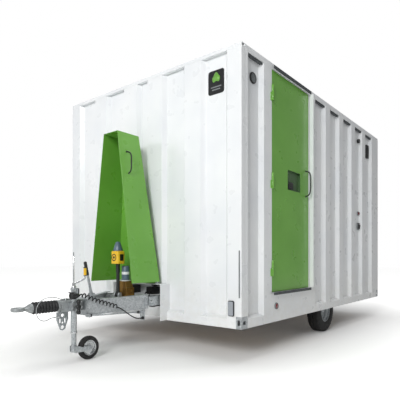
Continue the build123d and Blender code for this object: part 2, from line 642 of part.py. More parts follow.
with BuildPart() as name_plates:
    place = (PLAQUE_X, back(WAVE_DEPTH), up(PLAQUE_BASE + PLAQUE[1] / 2))
    with BuildSketch(facing(place, (0, -1, 0))) as face:
        RectangleRounded(PLAQUE[0], PLAQUE[1], PLAQUE[2])
    extrude(face.sketch, amount=PLATE)
    # A blank number plate on the middle of the rear wall.
    block((-260.0, 260.0), (REAR, REAR + PLATE), (up(300.0), up(411.0)))
    # A narrow strip down each front corner post.
    for side in (-1, 1):
        strip = sorted((side * (SIDE - 26.0), side * (SIDE - 14.0)))
        block(strip, (FRONT - PLATE, FRONT), (up(251.0), up(632.0)))
pieces["name_plates"] = name_plates

EYE_PLATE = 12.0
EYE_HOLE = 16.0
EYE_RING = 28.0

with BuildPart() as lifting_eyes:
    for side in (-1, 1):
        wide = sorted((side * (SIDE - 20.0), side * (SIDE - 20.0 - EYE_PLATE)))
        tip = (wide[0], REAR + REAR_REACH - EYE_RING, TOP - 60.0)
        rod(tip, (wide[1], tip[1], tip[2]), EYE_RING)
        block(wide, (REAR, tip[1]), (tip[2] - EYE_RING, tip[2] + EYE_RING))
        rod((wide[0] - 1.0, tip[1], tip[2]), (wide[1] + 1.0, tip[1], tip[2]), EYE_HOLE, Mode.SUBTRACT)
pieces["lifting_eyes"] = lifting_eyes

# ---- Lifting axle, road wheels and the ram that lowers the body ---------------------------------

pivot = (back(PIVOT_Y), up(PIVOT_HEIGHT))
wheel = (back(AXLE_Y), up(WHEEL_Z))
ARM_X = WHEEL_OUT - TYRE_WIDTH - 40.0
ARM_PLATE = 24.0
SWING_ARM = 34.0  # half the depth of a swing arm
HUB_IN = WHEEL_OUT - TYRE_WIDTH + 30.0
STUB_END = WHEEL_OUT - 42.0
SWING = radians(26.7)  # half of the axle's swing: the ram's lever hangs this far ahead of straight down
lever_tip = (pivot[0] - RAM_LEVER * sin(SWING), pivot[1] - RAM_LEVER * cos(SWING))

with BuildPart() as swing_axle:
    rod((-ARM_X, *pivot), (ARM_X, *pivot), AXLE_TUBE)
    for side in (-1, 1):
        plane = Plane(origin=(side * (ARM_X - ARM_PLATE), *pivot), x_dir=(0, 1, 0), z_dir=(1, 0, 0))
        across = Vector(wheel[0] - pivot[0], wheel[1] - pivot[1]).normalized() * SWING_ARM
        reach = (wheel[0] - pivot[0], wheel[1] - pivot[1])
        sides = [(-across.Y, across.X), (reach[0] - across.Y, reach[1] + across.X),
                 (reach[0] + across.Y, reach[1] - across.X), (across.Y, -across.X)]
        prism(plane, sides, side * ARM_PLATE)
        for point, radius in ((pivot, 1.3 * SWING_ARM), (wheel, 1.2 * SWING_ARM)):
            rod((side * (ARM_X - ARM_PLATE), *point), (side * ARM_X, *point), radius)
        rod((side * ARM_X, *wheel), (side * STUB_END, *wheel), STUB)
    for side in (-1, 1):
        # The lever that the ram pushes, in two cheeks with a pin through them.
        cheek = sorted((side * 22.0, side * 32.0))
        plane = Plane(origin=(cheek[0], *pivot), x_dir=(0, 1, 0), z_dir=(1, 0, 0))
        tip = (lever_tip[0] - pivot[0], lever_tip[1] - pivot[1])
        prism(plane, [(-24.0, 0.0), (24.0, 0.0), (tip[0] + 14.0, tip[1]), (tip[0] - 14.0, tip[1])], 10.0)
        rod((cheek[0], *lever_tip), (cheek[1], *lever_tip), 15.0)
    rod((-32.0, *lever_tip), (32.0, *lever_tip), RAM_PIN)
pieces["swing_axle"] = swing_axle

TREAD_EDGE = 22.0
HUB_BORE = STUB + RUNNING_FIT
RIM_WALL = 5.0
WELL_HALF = 24.0  # half the width of the rim's dropped middle
WELL_DEPTH = 17.0
WINDOWS = 8
WINDOW_RING = 76.0
WINDOW_RADIUS = 9.0
NUTS = 4
NUT_RING = 42.0


def tyre_outline():
    """Half section of a tyre, from bead to bead over the tread: along the axle, and out from it."""
    half = TYRE_WIDTH / 2
    tread = TYRE_RADIUS
    return [(-half + 12.0, RIM_RADIUS), (-half, RIM_RADIUS + 40.0), (-half + 2.0, tread - 30.0),
            (-half + TREAD_EDGE, tread), (half - TREAD_EDGE, tread), (half - 2.0, tread - 30.0),
            (half, RIM_RADIUS + 40.0), (half - 12.0, RIM_RADIUS), (half - 20.0, RIM_RADIUS),
            (half - 12.0, RIM_RADIUS + 40.0), (half - 24.0, tread - 16.0), (-half + 24.0, tread - 16.0),
            (-half + 12.0, RIM_RADIUS + 40.0), (-half + 20.0, RIM_RADIUS)]


def spin_plane(side, x, place):
    """A plane whose x axis is an axle that points out to the given side."""
    return Plane(origin=(side * x, *place), x_dir=(side, 0, 0), z_dir=(0, -side, 0))


for side, name in ((1, "left"), (-1, "right")):
    with BuildPart() as tyre:
        turned(spin_plane(side, WHEEL_X, wheel), tyre_outline())
    pieces[f"tyre_{name}"] = tyre
    with BuildPart() as rim:
        half = TYRE_WIDTH / 2 - 12.0
        seat = RIM_RADIUS - 0.3
        disc = STUB_END - WHEEL_X - 8.0
        plane = spin_plane(side, WHEEL_X, wheel)
        well = (WELL_HALF, seat - WELL_DEPTH)
        turned(plane, [(-half, seat), (-half, seat - RIM_WALL), (-well[0], well[1] - RIM_WALL),
                       (well[0], well[1] - RIM_WALL), (half, seat - RIM_WALL), (half, seat), well,
                       (-well[0], well[1])])
        turned(plane, [(disc - 6.0, 46.0), (disc - 12.0, 84.0), (disc - 12.0, well[1] - 3.0),
                       (disc - 6.0, well[1] - 3.0), (disc - 6.0, 84.0), (disc, 46.0)])
        turned(plane, [(HUB_IN - WHEEL_X, HUB_BORE), (HUB_IN - WHEEL_X, 52.0), (disc, 52.0), (disc, 34.0),
                       (STUB_END - WHEEL_X, 32.0), (STUB_END - WHEEL_X, HUB_BORE)])
        on_disc = Plane(origin=(side * (WHEEL_X + disc), *wheel), z_dir=(side, 0, 0)).location
        with Locations(on_disc):
            with PolarLocations(WINDOW_RING, WINDOWS):
                Cylinder(WINDOW_RADIUS, 40.0, mode=Mode.SUBTRACT)
        with Locations(on_disc):
            with PolarLocations(NUT_RING, NUTS):
                Cylinder(8.0, 12.0, align=MIDDLE)
    pieces[f"rim_{name}"] = rim

RAM_BODY = 24.0
RAM_ROD = 12.0
ROD_HEIGHT = lever_tip[1] - RAM_LEVER * (1 - cos(SWING)) / 2
RAM_FACE = back(CROSS_PLACES[3])
RAM_FOOT = 30.0
ROD_END = (lever_tip[0] - 20.0, lever_tip[0] + 20.0)
CYLINDER_START = back(1820.0)

with BuildPart() as ram_cylinder:
    rod((0, CYLINDER_START, ROD_HEIGHT), (0, RAM_FACE, ROD_HEIGHT), RAM_BODY)
    deep_end = (0, RAM_FACE - 20.0, ROD_HEIGHT)
    rod((0, CYLINDER_START - 1.0, ROD_HEIGHT), deep_end, RAM_ROD + RUNNING_FIT, Mode.SUBTRACT)
    block((-18.0, 18.0), (RAM_FACE, RAM_FACE + RAM_FOOT), (ROD_HEIGHT - 18.0, up(RAIL_TOP)))
pieces["ram_cylinder"] = ram_cylinder

with BuildPart() as ram_rod:
    rod((0, ROD_END[1] - 2.0, ROD_HEIGHT), (0, RAM_FACE - 140.0, ROD_HEIGHT), RAM_ROD)
    block((-20.0, 20.0), ROD_END, (ROD_HEIGHT - 22.0, ROD_HEIGHT + 22.0))
    slot = (lever_tip[0] - RAM_PIN - 1.5, lever_tip[0] + RAM_PIN + 1.5)
    block((-21.0, 21.0), slot, (ROD_HEIGHT - 16.0, ROD_HEIGHT + 16.0), Mode.SUBTRACT)
pieces["ram_rod"] = ram_rod

# ---- Hinge housing and hood ---------------------------------------------------------------------

with BuildPart() as hinge_housing:
    block((-HOUSING_HALF, HOUSING_HALF), (ahead(HOUSING_OUT), back(HOUSING_IN)), (BASE, up(HOUSING_TOP)))
    inside = HOUSING_HALF - HOUSING_STEEL
    deep = (ahead(HOUSING_OUT + 1.0), back(HOUSING_IN - HOUSING_STEEL))
    block((-inside, inside), deep, (BASE - 1.0, up(HOUSING_TOP - HOUSING_STEEL)), Mode.SUBTRACT)
pieces["hinge_housing"] = hinge_housing

pin_y, pin_height = ahead(HOOD_PIN[0]), up(HOOD_PIN[1])
KNUCKLE = 13.0
LUGS = ((-250.0, -238.0), (-6.0, 6.0), (238.0, 250.0))
KNUCKLES = ((-237.0, -7.0), (7.0, 237.0))

with BuildPart() as hood_hinge_pin:
    rod((LUGS[0][0], pin_y, pin_height), (LUGS[-1][1], pin_y, pin_height), HOOD_PIN_RADIUS)
    for lug in LUGS:
        rod((lug[0], pin_y, pin_height), (lug[1], pin_y, pin_height), KNUCKLE)
        block(lug, (pin_y - KNUCKLE, pin_y + KNUCKLE), (up(HOUSING_TOP), pin_height))
pieces["hood_hinge_pin"] = hood_hinge_pin


def hood_section(height, inset, front):
    """Half width and back face of the hood's section at a height above the bottom of the body."""
    share = (height - HOOD_BOTTOM) / (HOOD_TOP - HOOD_BOTTOM)
    half = HOOD_BASE_HALF + (HOOD_TOP_HALF - HOOD_BASE_HALF) * share - inset
    rear = HOOD_PIN[0] + (HOOD_TOP_BACK - HOOD_PIN[0]) * share + inset
    return half, ahead(front), ahead(rear)


def hood_body(low, high, inset, front, mode):
    """The tapered body between two heights, as a loft from its lower to its upper section."""
    faces = []
    for height in (low, high):
        half, near, rear = hood_section(height, inset, front)
        with BuildSketch(Plane.XY.offset(up(height))) as section:
            with BuildLine():
                Polyline((-half, near), (half, near), (half, rear), (-half, rear), close=True)
            make_face()
        faces.append(section.sketch)
    loft(faces, ruled=True, mode=mode)


with BuildPart() as hood_shell:
    hood_body(HOOD_BOTTOM, HOOD_TOP, 0.0, HOOD_FRONT, Mode.ADD)
    hood_body(HOOD_BOTTOM - 20.0, HOOD_TOP - HOOD_SHEET, HOOD_SHEET, HOOD_FRONT + 20.0, Mode.SUBTRACT)
    for lug in LUGS:
        start, end = (lug[0] - 1.0, pin_y, pin_height), (lug[1] + 1.0, pin_y, pin_height)
        rod(start, end, KNUCKLE + 1.5, Mode.SUBTRACT)
    for knuckle in KNUCKLES:
        rod((knuckle[0], pin_y, pin_height), (knuckle[1], pin_y, pin_height), KNUCKLE)
        rod((knuckle[0] - 1.0, pin_y, pin_height), (knuckle[1] + 1.0, pin_y, pin_height),
            HOOD_PIN_RADIUS + RUNNING_FIT, Mode.SUBTRACT)
pieces["hood_shell"] = hood_shell

HANDLE_HEIGHT = 1420.0
handle_half = hood_section(HANDLE_HEIGHT, 0.0, HOOD_FRONT)[0]
lean = (HOOD_BASE_HALF - HOOD_TOP_HALF) / (HOOD_TOP - HOOD_BOTTOM)
handle_place = (handle_half, ahead(300.0), up(HANDLE_HEIGHT))
handle_plane = Plane(origin=handle_place, x_dir=(0, -1, 0), z_dir=(1, 0, lean))
hood_handle = grab_handle(handle_plane, 200.0, 40.0, 6.0)
pieces["hood_handle"] = hood_handle

# ---- Drawbar -------------------------------------------------------------------------------------

shaft_z = up(SHAFT_HEIGHT)
GLAND_AHEAD = 256.0
ROD_HEIGHT_LOW = 97.0
ROD_FRONT = (114.0, HEAD_BACK - 12.6)  # beside the middle of the trailer, ahead of the front wall
ROD_REAR = (262.0, GLAND_AHEAD + 2.6)
hitch = (ahead(PIVOT_AHEAD), up(DRAWBAR_PIVOT))
BRACKET_PLATE = 10.0
BRACKET_GAP = 4.0  # between an arm's eye and the bracket plates beside it
BRACKET_NOSE = 28.0
BRACKET_HALF = 40.0
SADDLE = (92.0, 590.0, 220.0)  # half width, rear edge and underside of the plate over the coupling head
END_PLATE = 10.0
ARM_EYE = 30.0
nose_x, nose_ahead, nose_height = ARM_NOSE

with BuildPart() as drawbar_brackets:
    near_arm = ARM_FLANGE / 2 + BRACKET_GAP
    for side in (-1, 1):
        for gap in (-1, 1):
            inner = side * PIVOT_X + gap * near_arm
            plate = sorted((inner, inner + gap * BRACKET_PLATE))
            deep = (hitch[0] - BRACKET_NOSE, back(HOUSING_IN - HOUSING_STEEL))
            block(plate, deep, (hitch[1] - BRACKET_HALF, hitch[1] + BRACKET_HALF))
        ends = (PIVOT_X - near_arm - BRACKET_PLATE, PIVOT_X + near_arm + BRACKET_PLATE)
        rod((side * ends[0], *hitch), (side * ends[1], *hitch), PIVOT_PIN)
pieces["drawbar_brackets"] = drawbar_brackets

with BuildPart() as drawbar_frame:
    for side in (-1, 1):
        # The arm runs from behind its eye to the coupling head, a channel open to the inside.
        start = Vector(side * PIVOT_X, hitch[0] - 20.0, hitch[1])
        end = Vector(side * nose_x, ahead(nose_ahead), up(nose_height))
        along = end - start
        inboard = Vector(0, 0, 1).cross(along) * -side
        plane = Plane(origin=start, x_dir=inboard, z_dir=along)
        half, depth = ARM_FLANGE / 2, ARM_DEPTH / 2
        prism(plane, [(-half, -depth), (half, -depth), (half, depth), (-half, depth)], along.length)
        web, open_side, inner = ARM_STEEL - half, half + 1.0, depth - ARM_STEEL
        hollow = [(web, -inner), (open_side, -inner), (open_side, inner), (web, inner)]
        prism(plane, hollow, along.length, Mode.SUBTRACT)
        eye = (side * (PIVOT_X - ARM_FLANGE / 2), side * (PIVOT_X + ARM_FLANGE / 2))
        rod((eye[0], *hitch), (eye[1], *hitch), ARM_EYE)
        block(sorted(eye), (hitch[0] - 62.0, hitch[0]), (hitch[1] - ARM_EYE, hitch[1] + ARM_EYE))
        rod((eye[0] - side, *hitch), (eye[1] + side, *hitch), PIVOT_PIN + RUNNING_FIT, Mode.SUBTRACT)
    # Cross plate between the arms.
    block((-175.0, 175.0), (ahead(470.0), ahead(458.0)), (up(125.0), up(220.0)))
    # The saddle and the end plate that join the arms to the coupling head.
    half, rear_edge, under = SADDLE
    block((-half, half), (ahead(HEAD_BACK), ahead(rear_edge)), (up(under), up(HEAD_TOP + 2.0)))
    end_plate = (ahead(HEAD_BACK), ahead(HEAD_BACK - END_PLATE))
    block((-80.0, 80.0), end_plate, (up(95.0), up(HEAD_TOP + 2.0)))
    start, end = (0, end_plate[0] - 1.0, shaft_z), (0, end_plate[1] + 1.0, shaft_z)
    rod(start, end, SHAFT_RADIUS + 4.0, Mode.SUBTRACT)
    # Lugs that hold the brake rod, and the gland of the lead under the near arm.
    block((80.0, ROD_FRONT[0] + 12.0), end_plate, (up(84.0), up(110.0)))
    block((70.0, 82.0), end_plate, (up(84.0), up(130.0)))
    block((248.0, 306.0), (ahead(GLAND_AHEAD), ahead(GLAND_AHEAD - 6.0)), (up(28.0), up(124.0)))
pieces["drawbar_frame"] = drawbar_frame

HEAD_ROUND = 14.0

with BuildPart() as coupling_housing:
    with BuildSketch(facing((0, ahead(HEAD_BACK), up((HEAD_BASE + HEAD_TOP) / 2)), (0, -1, 0))) as face:
        RectangleRounded(2 * HEAD_HALF, HEAD_TOP - HEAD_BASE, HEAD_ROUND)
    extrude(face.sketch, amount=HEAD_FRONT - HEAD_BACK - 30.0)
    rod((0, ahead(HEAD_FRONT - 30.0), shaft_z), (0, ahead(HEAD_FRONT), shaft_z), 40.0)
    rod((0, ahead(HEAD_FRONT - 10.0), shaft_z), (0, ahead(HEAD_FRONT), shaft_z), 46.0)
    start, end = (0, ahead(HEAD_FRONT + 1.0), shaft_z), (0, ahead(HEAD_BACK - 1.0), shaft_z)
    rod(start, end, SHAFT_RADIUS + RUNNING_FIT, Mode.SUBTRACT)
pieces["coupling_housing"] = coupling_housing

eye_y = ahead(DRAWBAR_REACH - EYE_RADIUS)

with BuildPart() as towing_eye:
    rod((0, ahead(COLLAR[0] + 5.0), shaft_z), (0, ahead(HEAD_BACK + 5.0), shaft_z), SHAFT_RADIUS)
    with BuildSketch(facing((0, ahead(COLLAR[0]), shaft_z), (0, -1, 0))) as wide_end:
        Circle(COLLAR[2])
    with BuildSketch(facing((0, ahead(COLLAR[1]), shaft_z), (0, -1, 0))) as narrow_end:
        RectangleRounded(62.0, EYE_THICK, 10.0)
    loft([wide_end.sketch, narrow_end.sketch])
    rod((0, eye_y, shaft_z - EYE_THICK / 2), (0, eye_y, shaft_z + EYE_THICK / 2), EYE_RADIUS)
    block((-31.0, 31.0), (eye_y, ahead(COLLAR[1])), (shaft_z - EYE_THICK / 2, shaft_z + EYE_THICK / 2))
    rod((0, eye_y, shaft_z - EYE_THICK), (0, eye_y, shaft_z + EYE_THICK), EYE_BORE, Mode.SUBTRACT)
pieces["towing_eye"] = towing_eye

GAITER_FOLDS = 8
GAITER = (48.0, 36.0)  # radius over and between the folds


def gaiter_outline(length):
    """Half section of a bellows with thin walls, along its length and out from its axis."""
    fold = length / GAITER_FOLDS
    outer = [(0.0, GAITER[1])]
    for step in range(GAITER_FOLDS):
        outer += [((step + 0.5) * fold, GAITER[0]), ((step + 1) * fold, GAITER[1])]
    return outer + [(along, out - 4.0) for along, out in reversed(outer)]


with BuildPart() as gaiter:
    start = Plane(origin=(0, ahead(COLLAR[0] - CLEAR), shaft_z), x_dir=(0, 1, 0), z_dir=(1, 0, 0))
    turned(start, gaiter_outline(COLLAR[0] - HEAD_FRONT - 2 * CLEAR))
pieces["gaiter"] = gaiter

DROP_PLATE = (818.0, 925.0, -12.0, 8.0)  # rear and front edges, lowest point, thickness
DROP_ROUND = 30.0  # radius of its lower end

with BuildPart() as drop_plate:
    rear, front, low, thick = DROP_PLATE
    centre = (rear + front) / 2
    half = (front - rear) / 2
    plane = Plane(origin=(0, ahead(centre), up(HEAD_BASE)), x_dir=(0, 1, 0), z_dir=(1, 0, 0))
    with BuildSketch(plane) as face:
        with BuildLine():
            toe = low - HEAD_BASE
            Polyline((-DROP_ROUND, toe + DROP_ROUND), (-half, -60.0), (-half, 0.0), (half, 0.0),
                     (half, -60.0), (DROP_ROUND, toe + DROP_ROUND))
            ThreePointArc((DROP_ROUND, toe + DROP_ROUND), (0.0, toe), (-DROP_ROUND, toe + DROP_ROUND))
        make_face()
        with Locations((0.0, -28.0)):
            Circle(13.0, mode=Mode.SUBTRACT)
        with Locations((-22.0, -72.0), (22.0, -72.0)):
            SlotOverall(38.0, 13.0, rotation=90, mode=Mode.SUBTRACT)
        with Locations((0.0, -88.0)):
            Circle(8.0, mode=Mode.SUBTRACT)
        with Locations((0.0, -124.0)):
            Circle(15.0, mode=Mode.SUBTRACT)
    extrude(face.sketch, amount=thick / 2, both=True)
pieces["drop_plate"] = drop_plate

# ---- Jockey wheel --------------------------------------------------------------------------------

jockey = (JOCKEY_X, ahead(JOCKEY_AHEAD))
TUBE_WALL = 3.5


def bar_z(low, high, radius, mode=Mode.ADD):
    """An upright round bar on the jockey wheel's own axis."""
    rod((*jockey, up(low)), (*jockey, up(high)), radius, mode)


with BuildPart() as jockey_clamp:
    block((HEAD_HALF, JOCKEY_X + 34.0), (jockey[1] - 34.0, jockey[1] + 34.0), (up(150.0), up(215.0)))
    bar_z(149.0, 216.0, JOCKEY_TUBE, Mode.SUBTRACT)
    hole = (jockey[1], up(182.0))
    rod((JOCKEY_X, *hole), (JOCKEY_X + 40.0, *hole), 7.0 + RUNNING_FIT, Mode.SUBTRACT)
pieces["jockey_clamp"] = jockey_clamp

with BuildPart() as clamp_handle:
    rod((JOCKEY_X + JOCKEY_TUBE + CLEAR, *hole), (JOCKEY_X + 74.0, *hole), 7.0)
    rod((JOCKEY_X + 50.0, hole[0], hole[1]), (JOCKEY_X + 78.0, hole[0], hole[1]), 20.0)
    rod((JOCKEY_X + 66.0, hole[0], hole[1] - 62.0), (JOCKEY_X + 66.0, hole[0], hole[1] + 62.0), 12.0)
pieces["clamp_handle"] = clamp_handle

PARK_HEIGHT = 272.0
PLUG_X = JOCKEY_X + 50.0
PLUG_RADIUS = 21.0
PLUG_FRONT = 862.0
PLUG_BACK = 792.0

with BuildPart() as jockey_outer_tube:
    bar_z(JOCKEY_BOTTOM, JOCKEY_TOP, JOCKEY_TUBE)
    bar_z(JOCKEY_BOTTOM - 1.0, JOCKEY_TOP + 1.0, JOCKEY_TUBE - TUBE_WALL, Mode.SUBTRACT)
    bar_z(JOCKEY_TOP, JOCKEY_TOP + 14.0, JOCKEY_TUBE + 3.0)
    # The arm and the cup that the lead's plug is parked in.
    block((JOCKEY_X + JOCKEY_TUBE - 1.0, PLUG_X), (ahead(PLUG_FRONT + 12.0), ahead(PLUG_FRONT - 60.0)),
          (up(PARK_HEIGHT - 5.0), up(PARK_HEIGHT + 5.0)))
    cup = (PLUG_X, ahead(PLUG_FRONT + 12.0), up(PARK_HEIGHT))
    rod(cup, (PLUG_X, ahead(PLUG_FRONT - 20.0), up(PARK_HEIGHT)), PLUG_RADIUS + 4.0)
    start = (PLUG_X, ahead(PLUG_FRONT + 0.3), up(PARK_HEIGHT))
    rod(start, (PLUG_X, ahead(PLUG_FRONT - 61.0), up(PARK_HEIGHT)), PLUG_RADIUS + 0.3, Mode.SUBTRACT)
    bar_z(JOCKEY_TOP - 1.0, JOCKEY_TOP + 15.0, 8.0 + RUNNING_FIT, Mode.SUBTRACT)
    bar_z(JOCKEY_BOTTOM - 1.0, JOCKEY_TOP, JOCKEY_INNER + CLEAR, Mode.SUBTRACT)
pieces["jockey_outer_tube"] = jockey_outer_tube

LEG_TOP = 200.0
LEG_BOTTOM = -128.0
FORK_TOP = LEG_BOTTOM - CLEAR
hub_height = JOCKEY_WHEEL - GROUND_CLEARANCE
hub = (jockey[1] + JOCKEY_TRAIL, up(hub_height))

with BuildPart() as jockey_crank:
    bar_z(30.0, 372.0, 8.0)
    bar_z(JOCKEY_TOP + 14.0 + CLEAR, 350.0, 19.0)
    bar_z(350.0, 372.0, 13.0)
    bar_z(372.0, 589.0, 4.0)
    knob = (JOCKEY_X + 10.0, jockey[1] + CRANK_ARM)
    rod((*jockey, up(366.0)), (*knob, up(404.0)), 7.0)
    rod((*knob, up(396.0)), (*knob, up(428.0)), 6.0)
    rod((*knob, up(428.0)), (*knob, up(498.0)), 13.0)
pieces["jockey_crank"] = jockey_crank

with BuildPart() as jockey_leg:
    bar_z(LEG_BOTTOM, LEG_TOP, JOCKEY_INNER)
    bar_z(LEG_BOTTOM - 1.0, LEG_TOP + 1.0, JOCKEY_INNER - 4.0, Mode.SUBTRACT)
    bar_z(LEG_TOP - 30.0, LEG_TOP, JOCKEY_INNER)
    bar_z(LEG_TOP - 31.0, LEG_TOP + 1.0, 8.0 + RUNNING_FIT, Mode.SUBTRACT)
    bar_z(LEG_BOTTOM, LEG_BOTTOM + 20.0, JOCKEY_INNER)
    bar_z(LEG_BOTTOM - 20.0, LEG_BOTTOM, 10.0)
pieces["jockey_leg"] = jockey_leg

FORK_HALF = JOCKEY_TREAD / 2 + 8.0
FORK_PLATE = 5.0

with BuildPart() as jockey_fork:
    bar_z(FORK_TOP - 61.0, FORK_TOP, JOCKEY_TUBE - 2.0)
    bar_z(FORK_TOP - 20.0, FORK_TOP + 1.0, 10.0 + RUNNING_FIT, Mode.SUBTRACT)
    for side in (-1, 1):
        plate = sorted((JOCKEY_X + side * FORK_HALF, JOCKEY_X + side * (FORK_HALF - FORK_PLATE)))
        block(plate, (jockey[1] - 8.0, hub[0]), (hub[1] - 18.0, hub[1] + 18.0))
        rod((plate[0], *hub), (plate[1], *hub), 18.0)
    block((JOCKEY_X - FORK_HALF, JOCKEY_X + FORK_HALF), (jockey[1] - 14.0, jockey[1] + 14.0),
          (hub[1] - 18.0, hub[1] + 18.0))
    bar_z(FORK_TOP - 20.0, FORK_TOP + 1.0, 10.0 + RUNNING_FIT, Mode.SUBTRACT)
    rod((JOCKEY_X - FORK_HALF - 6.0, *hub), (JOCKEY_X + FORK_HALF + 6.0, *hub), 7.0)
pieces["jockey_fork"] = jockey_fork

with BuildPart() as jockey_wheel:
    half = JOCKEY_TREAD / 2
    bore = 7.0 + RUNNING_FIT
    shoulder = (half - 12.0, JOCKEY_WHEEL - 12.0)
    turned(spin_plane(1, JOCKEY_X, hub),
           [(-half, 66.0), (-half, shoulder[1]), (-shoulder[0], JOCKEY_WHEEL), (shoulder[0], JOCKEY_WHEEL),
            (half, shoulder[1]), (half, 66.0), (half - 8.0, 62.0), (-half + 8.0, 62.0)])
    turned(spin_plane(1, JOCKEY_X, hub),
           [(-half + 2.0, bore), (-half + 2.0, 22.0), (-4.0, 24.0), (-4.0, 54.0), (-half + 7.0, 56.0),
            (-half + 8.0, 62.0), (half - 8.0, 62.0), (half - 7.0, 56.0), (4.0, 54.0), (4.0, 24.0),
            (half - 2.0, 22.0), (half - 2.0, bore)])
pieces["jockey_wheel"] = jockey_wheel

# ---- Parking brake -------------------------------------------------------------------------------

BRAKE_X = 30.0
BRAKE_FOOT = (ahead(610.0), up(256.0))
BRAKE_TIP = (ahead(676.0), up(541.0))
BRAKE_PIN = 8.0

with BuildPart() as brake_mount:
    for side in (-1, 1):
        plate = sorted((BRAKE_X + side * (6.0 + CLEAR), BRAKE_X + side * 16.0))
        block(plate, (BRAKE_FOOT[0] - 24.0, BRAKE_FOOT[0] + 24.0), (up(233.0), up(274.0)))
    rod((BRAKE_X - 16.0, *BRAKE_FOOT), (BRAKE_X + 16.0, *BRAKE_FOOT), BRAKE_PIN)
    # The rod that pulls the brakes, along the outside of the near arm, with its end ball.
    start = (ROD_FRONT[0], ahead(ROD_FRONT[1]), up(ROD_HEIGHT_LOW))
    rod(start, (ROD_REAR[0], ahead(ROD_REAR[1]), up(ROD_HEIGHT_LOW)), 7.0)
pieces["brake_mount"] = brake_mount

with BuildPart() as brake_lever:
    lean_y, lean_z = BRAKE_TIP[0] - BRAKE_FOOT[0], BRAKE_TIP[1] - BRAKE_FOOT[1]
    grip = (BRAKE_FOOT[0] + 0.62 * lean_y, BRAKE_FOOT[1] + 0.62 * lean_z)
    plane = Plane(origin=(BRAKE_X - 6.0, *BRAKE_FOOT), x_dir=(0, 1, 0), z_dir=(1, 0, 0))
    reach = (grip[0] - BRAKE_FOOT[0], grip[1] - BRAKE_FOOT[1])
    prism(plane, [(-15.0, 0.0), (15.0, 0.0), (reach[0] + 10.0, reach[1]), (reach[0] - 10.0, reach[1])], 12.0)
    rod((BRAKE_X - 6.0, *BRAKE_FOOT), (BRAKE_X + 6.0, *BRAKE_FOOT), 15.0)
    rod((BRAKE_X - 7.0, *BRAKE_FOOT), (BRAKE_X + 7.0, *BRAKE_FOOT), BRAKE_PIN + RUNNING_FIT, Mode.SUBTRACT)
    rod((BRAKE_X, *grip), (BRAKE_X, *BRAKE_TIP), 14.0)
pieces["brake_lever"] = brake_lever

# ---- Hand pump ----------------------------------------------------------------------------------

PUMP_Y = ahead(297.0)
PUMP_PIVOT = 236.0
PUMP_PIN = 9.0
pump_foot = (PUMP_Y, up(PUMP_PIVOT))

with BuildPart() as pump_unit:
    block((-60.0, 60.0), (PUMP_Y - 36.0, back(HOUSING_IN - HOUSING_STEEL)), (up(196.0), up(206.0)))
    block((-55.0, 75.0), (PUMP_Y + 40.0, PUMP_Y + 130.0), (up(206.0), up(300.0)))
    block((-50.0, 60.0), (PUMP_Y + 42.0, PUMP_Y + 124.0), (up(300.0), up(358.0)))
    rod((5.0, PUMP_Y + 85.0, up(358.0)), (5.0, PUMP_Y + 85.0, up(366.0)), 46.0)
    rod((5.0, PUMP_Y + 85.0, up(366.0)), (5.0, PUMP_Y + 85.0, up(500.0)), 36.0)
    for side in (-1, 1):
        cheek = sorted((side * (22.0 + CLEAR), side * 32.0))
        block(cheek, (PUMP_Y - 24.0, PUMP_Y + 24.0), (up(206.0), up(PUMP_PIVOT + 20.0)))
    rod((-32.0, *pump_foot), (32.0, *pump_foot), PUMP_PIN)
pieces["pump_unit"] = pump_unit

with BuildPart() as pump_lever:
    rod((0, PUMP_Y, up(PUMP_PIVOT)), (0, PUMP_Y, up(516.0)), 19.0)
    rod((-22.0, *pump_foot), (22.0, *pump_foot), 22.0)
    rod((-23.0, *pump_foot), (23.0, *pump_foot), PUMP_PIN + RUNNING_FIT, Mode.SUBTRACT)
    with BuildSketch(Plane(origin=(0, PUMP_Y, up(516.0)))) as head:
        RectangleRounded(104.0, 96.0, 24.0)
    extrude(head.sketch, amount=119.0)
    with Locations((0, PUMP_Y, up(635.0))):
        Cone(44.0, 20.0, 85.0, align=MIDDLE)
pieces["pump_lever"] = pump_lever

# ---- Electric lead and breakaway cable ----------------------------------------------------------


def cord_path(points):
    """Straight runs joined by tangent arcs, each as large as its two runs allow."""
    corners = [Vector(*point) for point in points]
    radii = []
    for before, here, after in zip(corners, corners[1:], corners[2:]):
        turn = radians((here - before).get_angle(after - here))
        shorter = min((here - before).length, (after - here).length)
        radii.append(0.45 * shorter / tan(turn / 2))
    print("arc radii in mm:", [round(radius, 1) for radius in radii])
    return FilletPolyline(*points, radius=radii)


def cord_tube(points, diameter):
    """A round cord laid along the points."""
    path = cord_path(points)
    with BuildPart(mode=Mode.PRIVATE) as tube:
        with BuildSketch(Plane(origin=path @ 0, z_dir=path % 0)) as section:
            Circle(diameter / 2)
        sweep(section.sketch, path=path)
    share = tube.part.volume / (section.sketch.area * path.length)
    print("cord length in mm:", round(path.length, 1), "volume share:", round(share, 4))
    return tube.part


LEAD = 10.0
CURL = 40.0  # outer diameter of the curly stretch
CABLE = 6.0

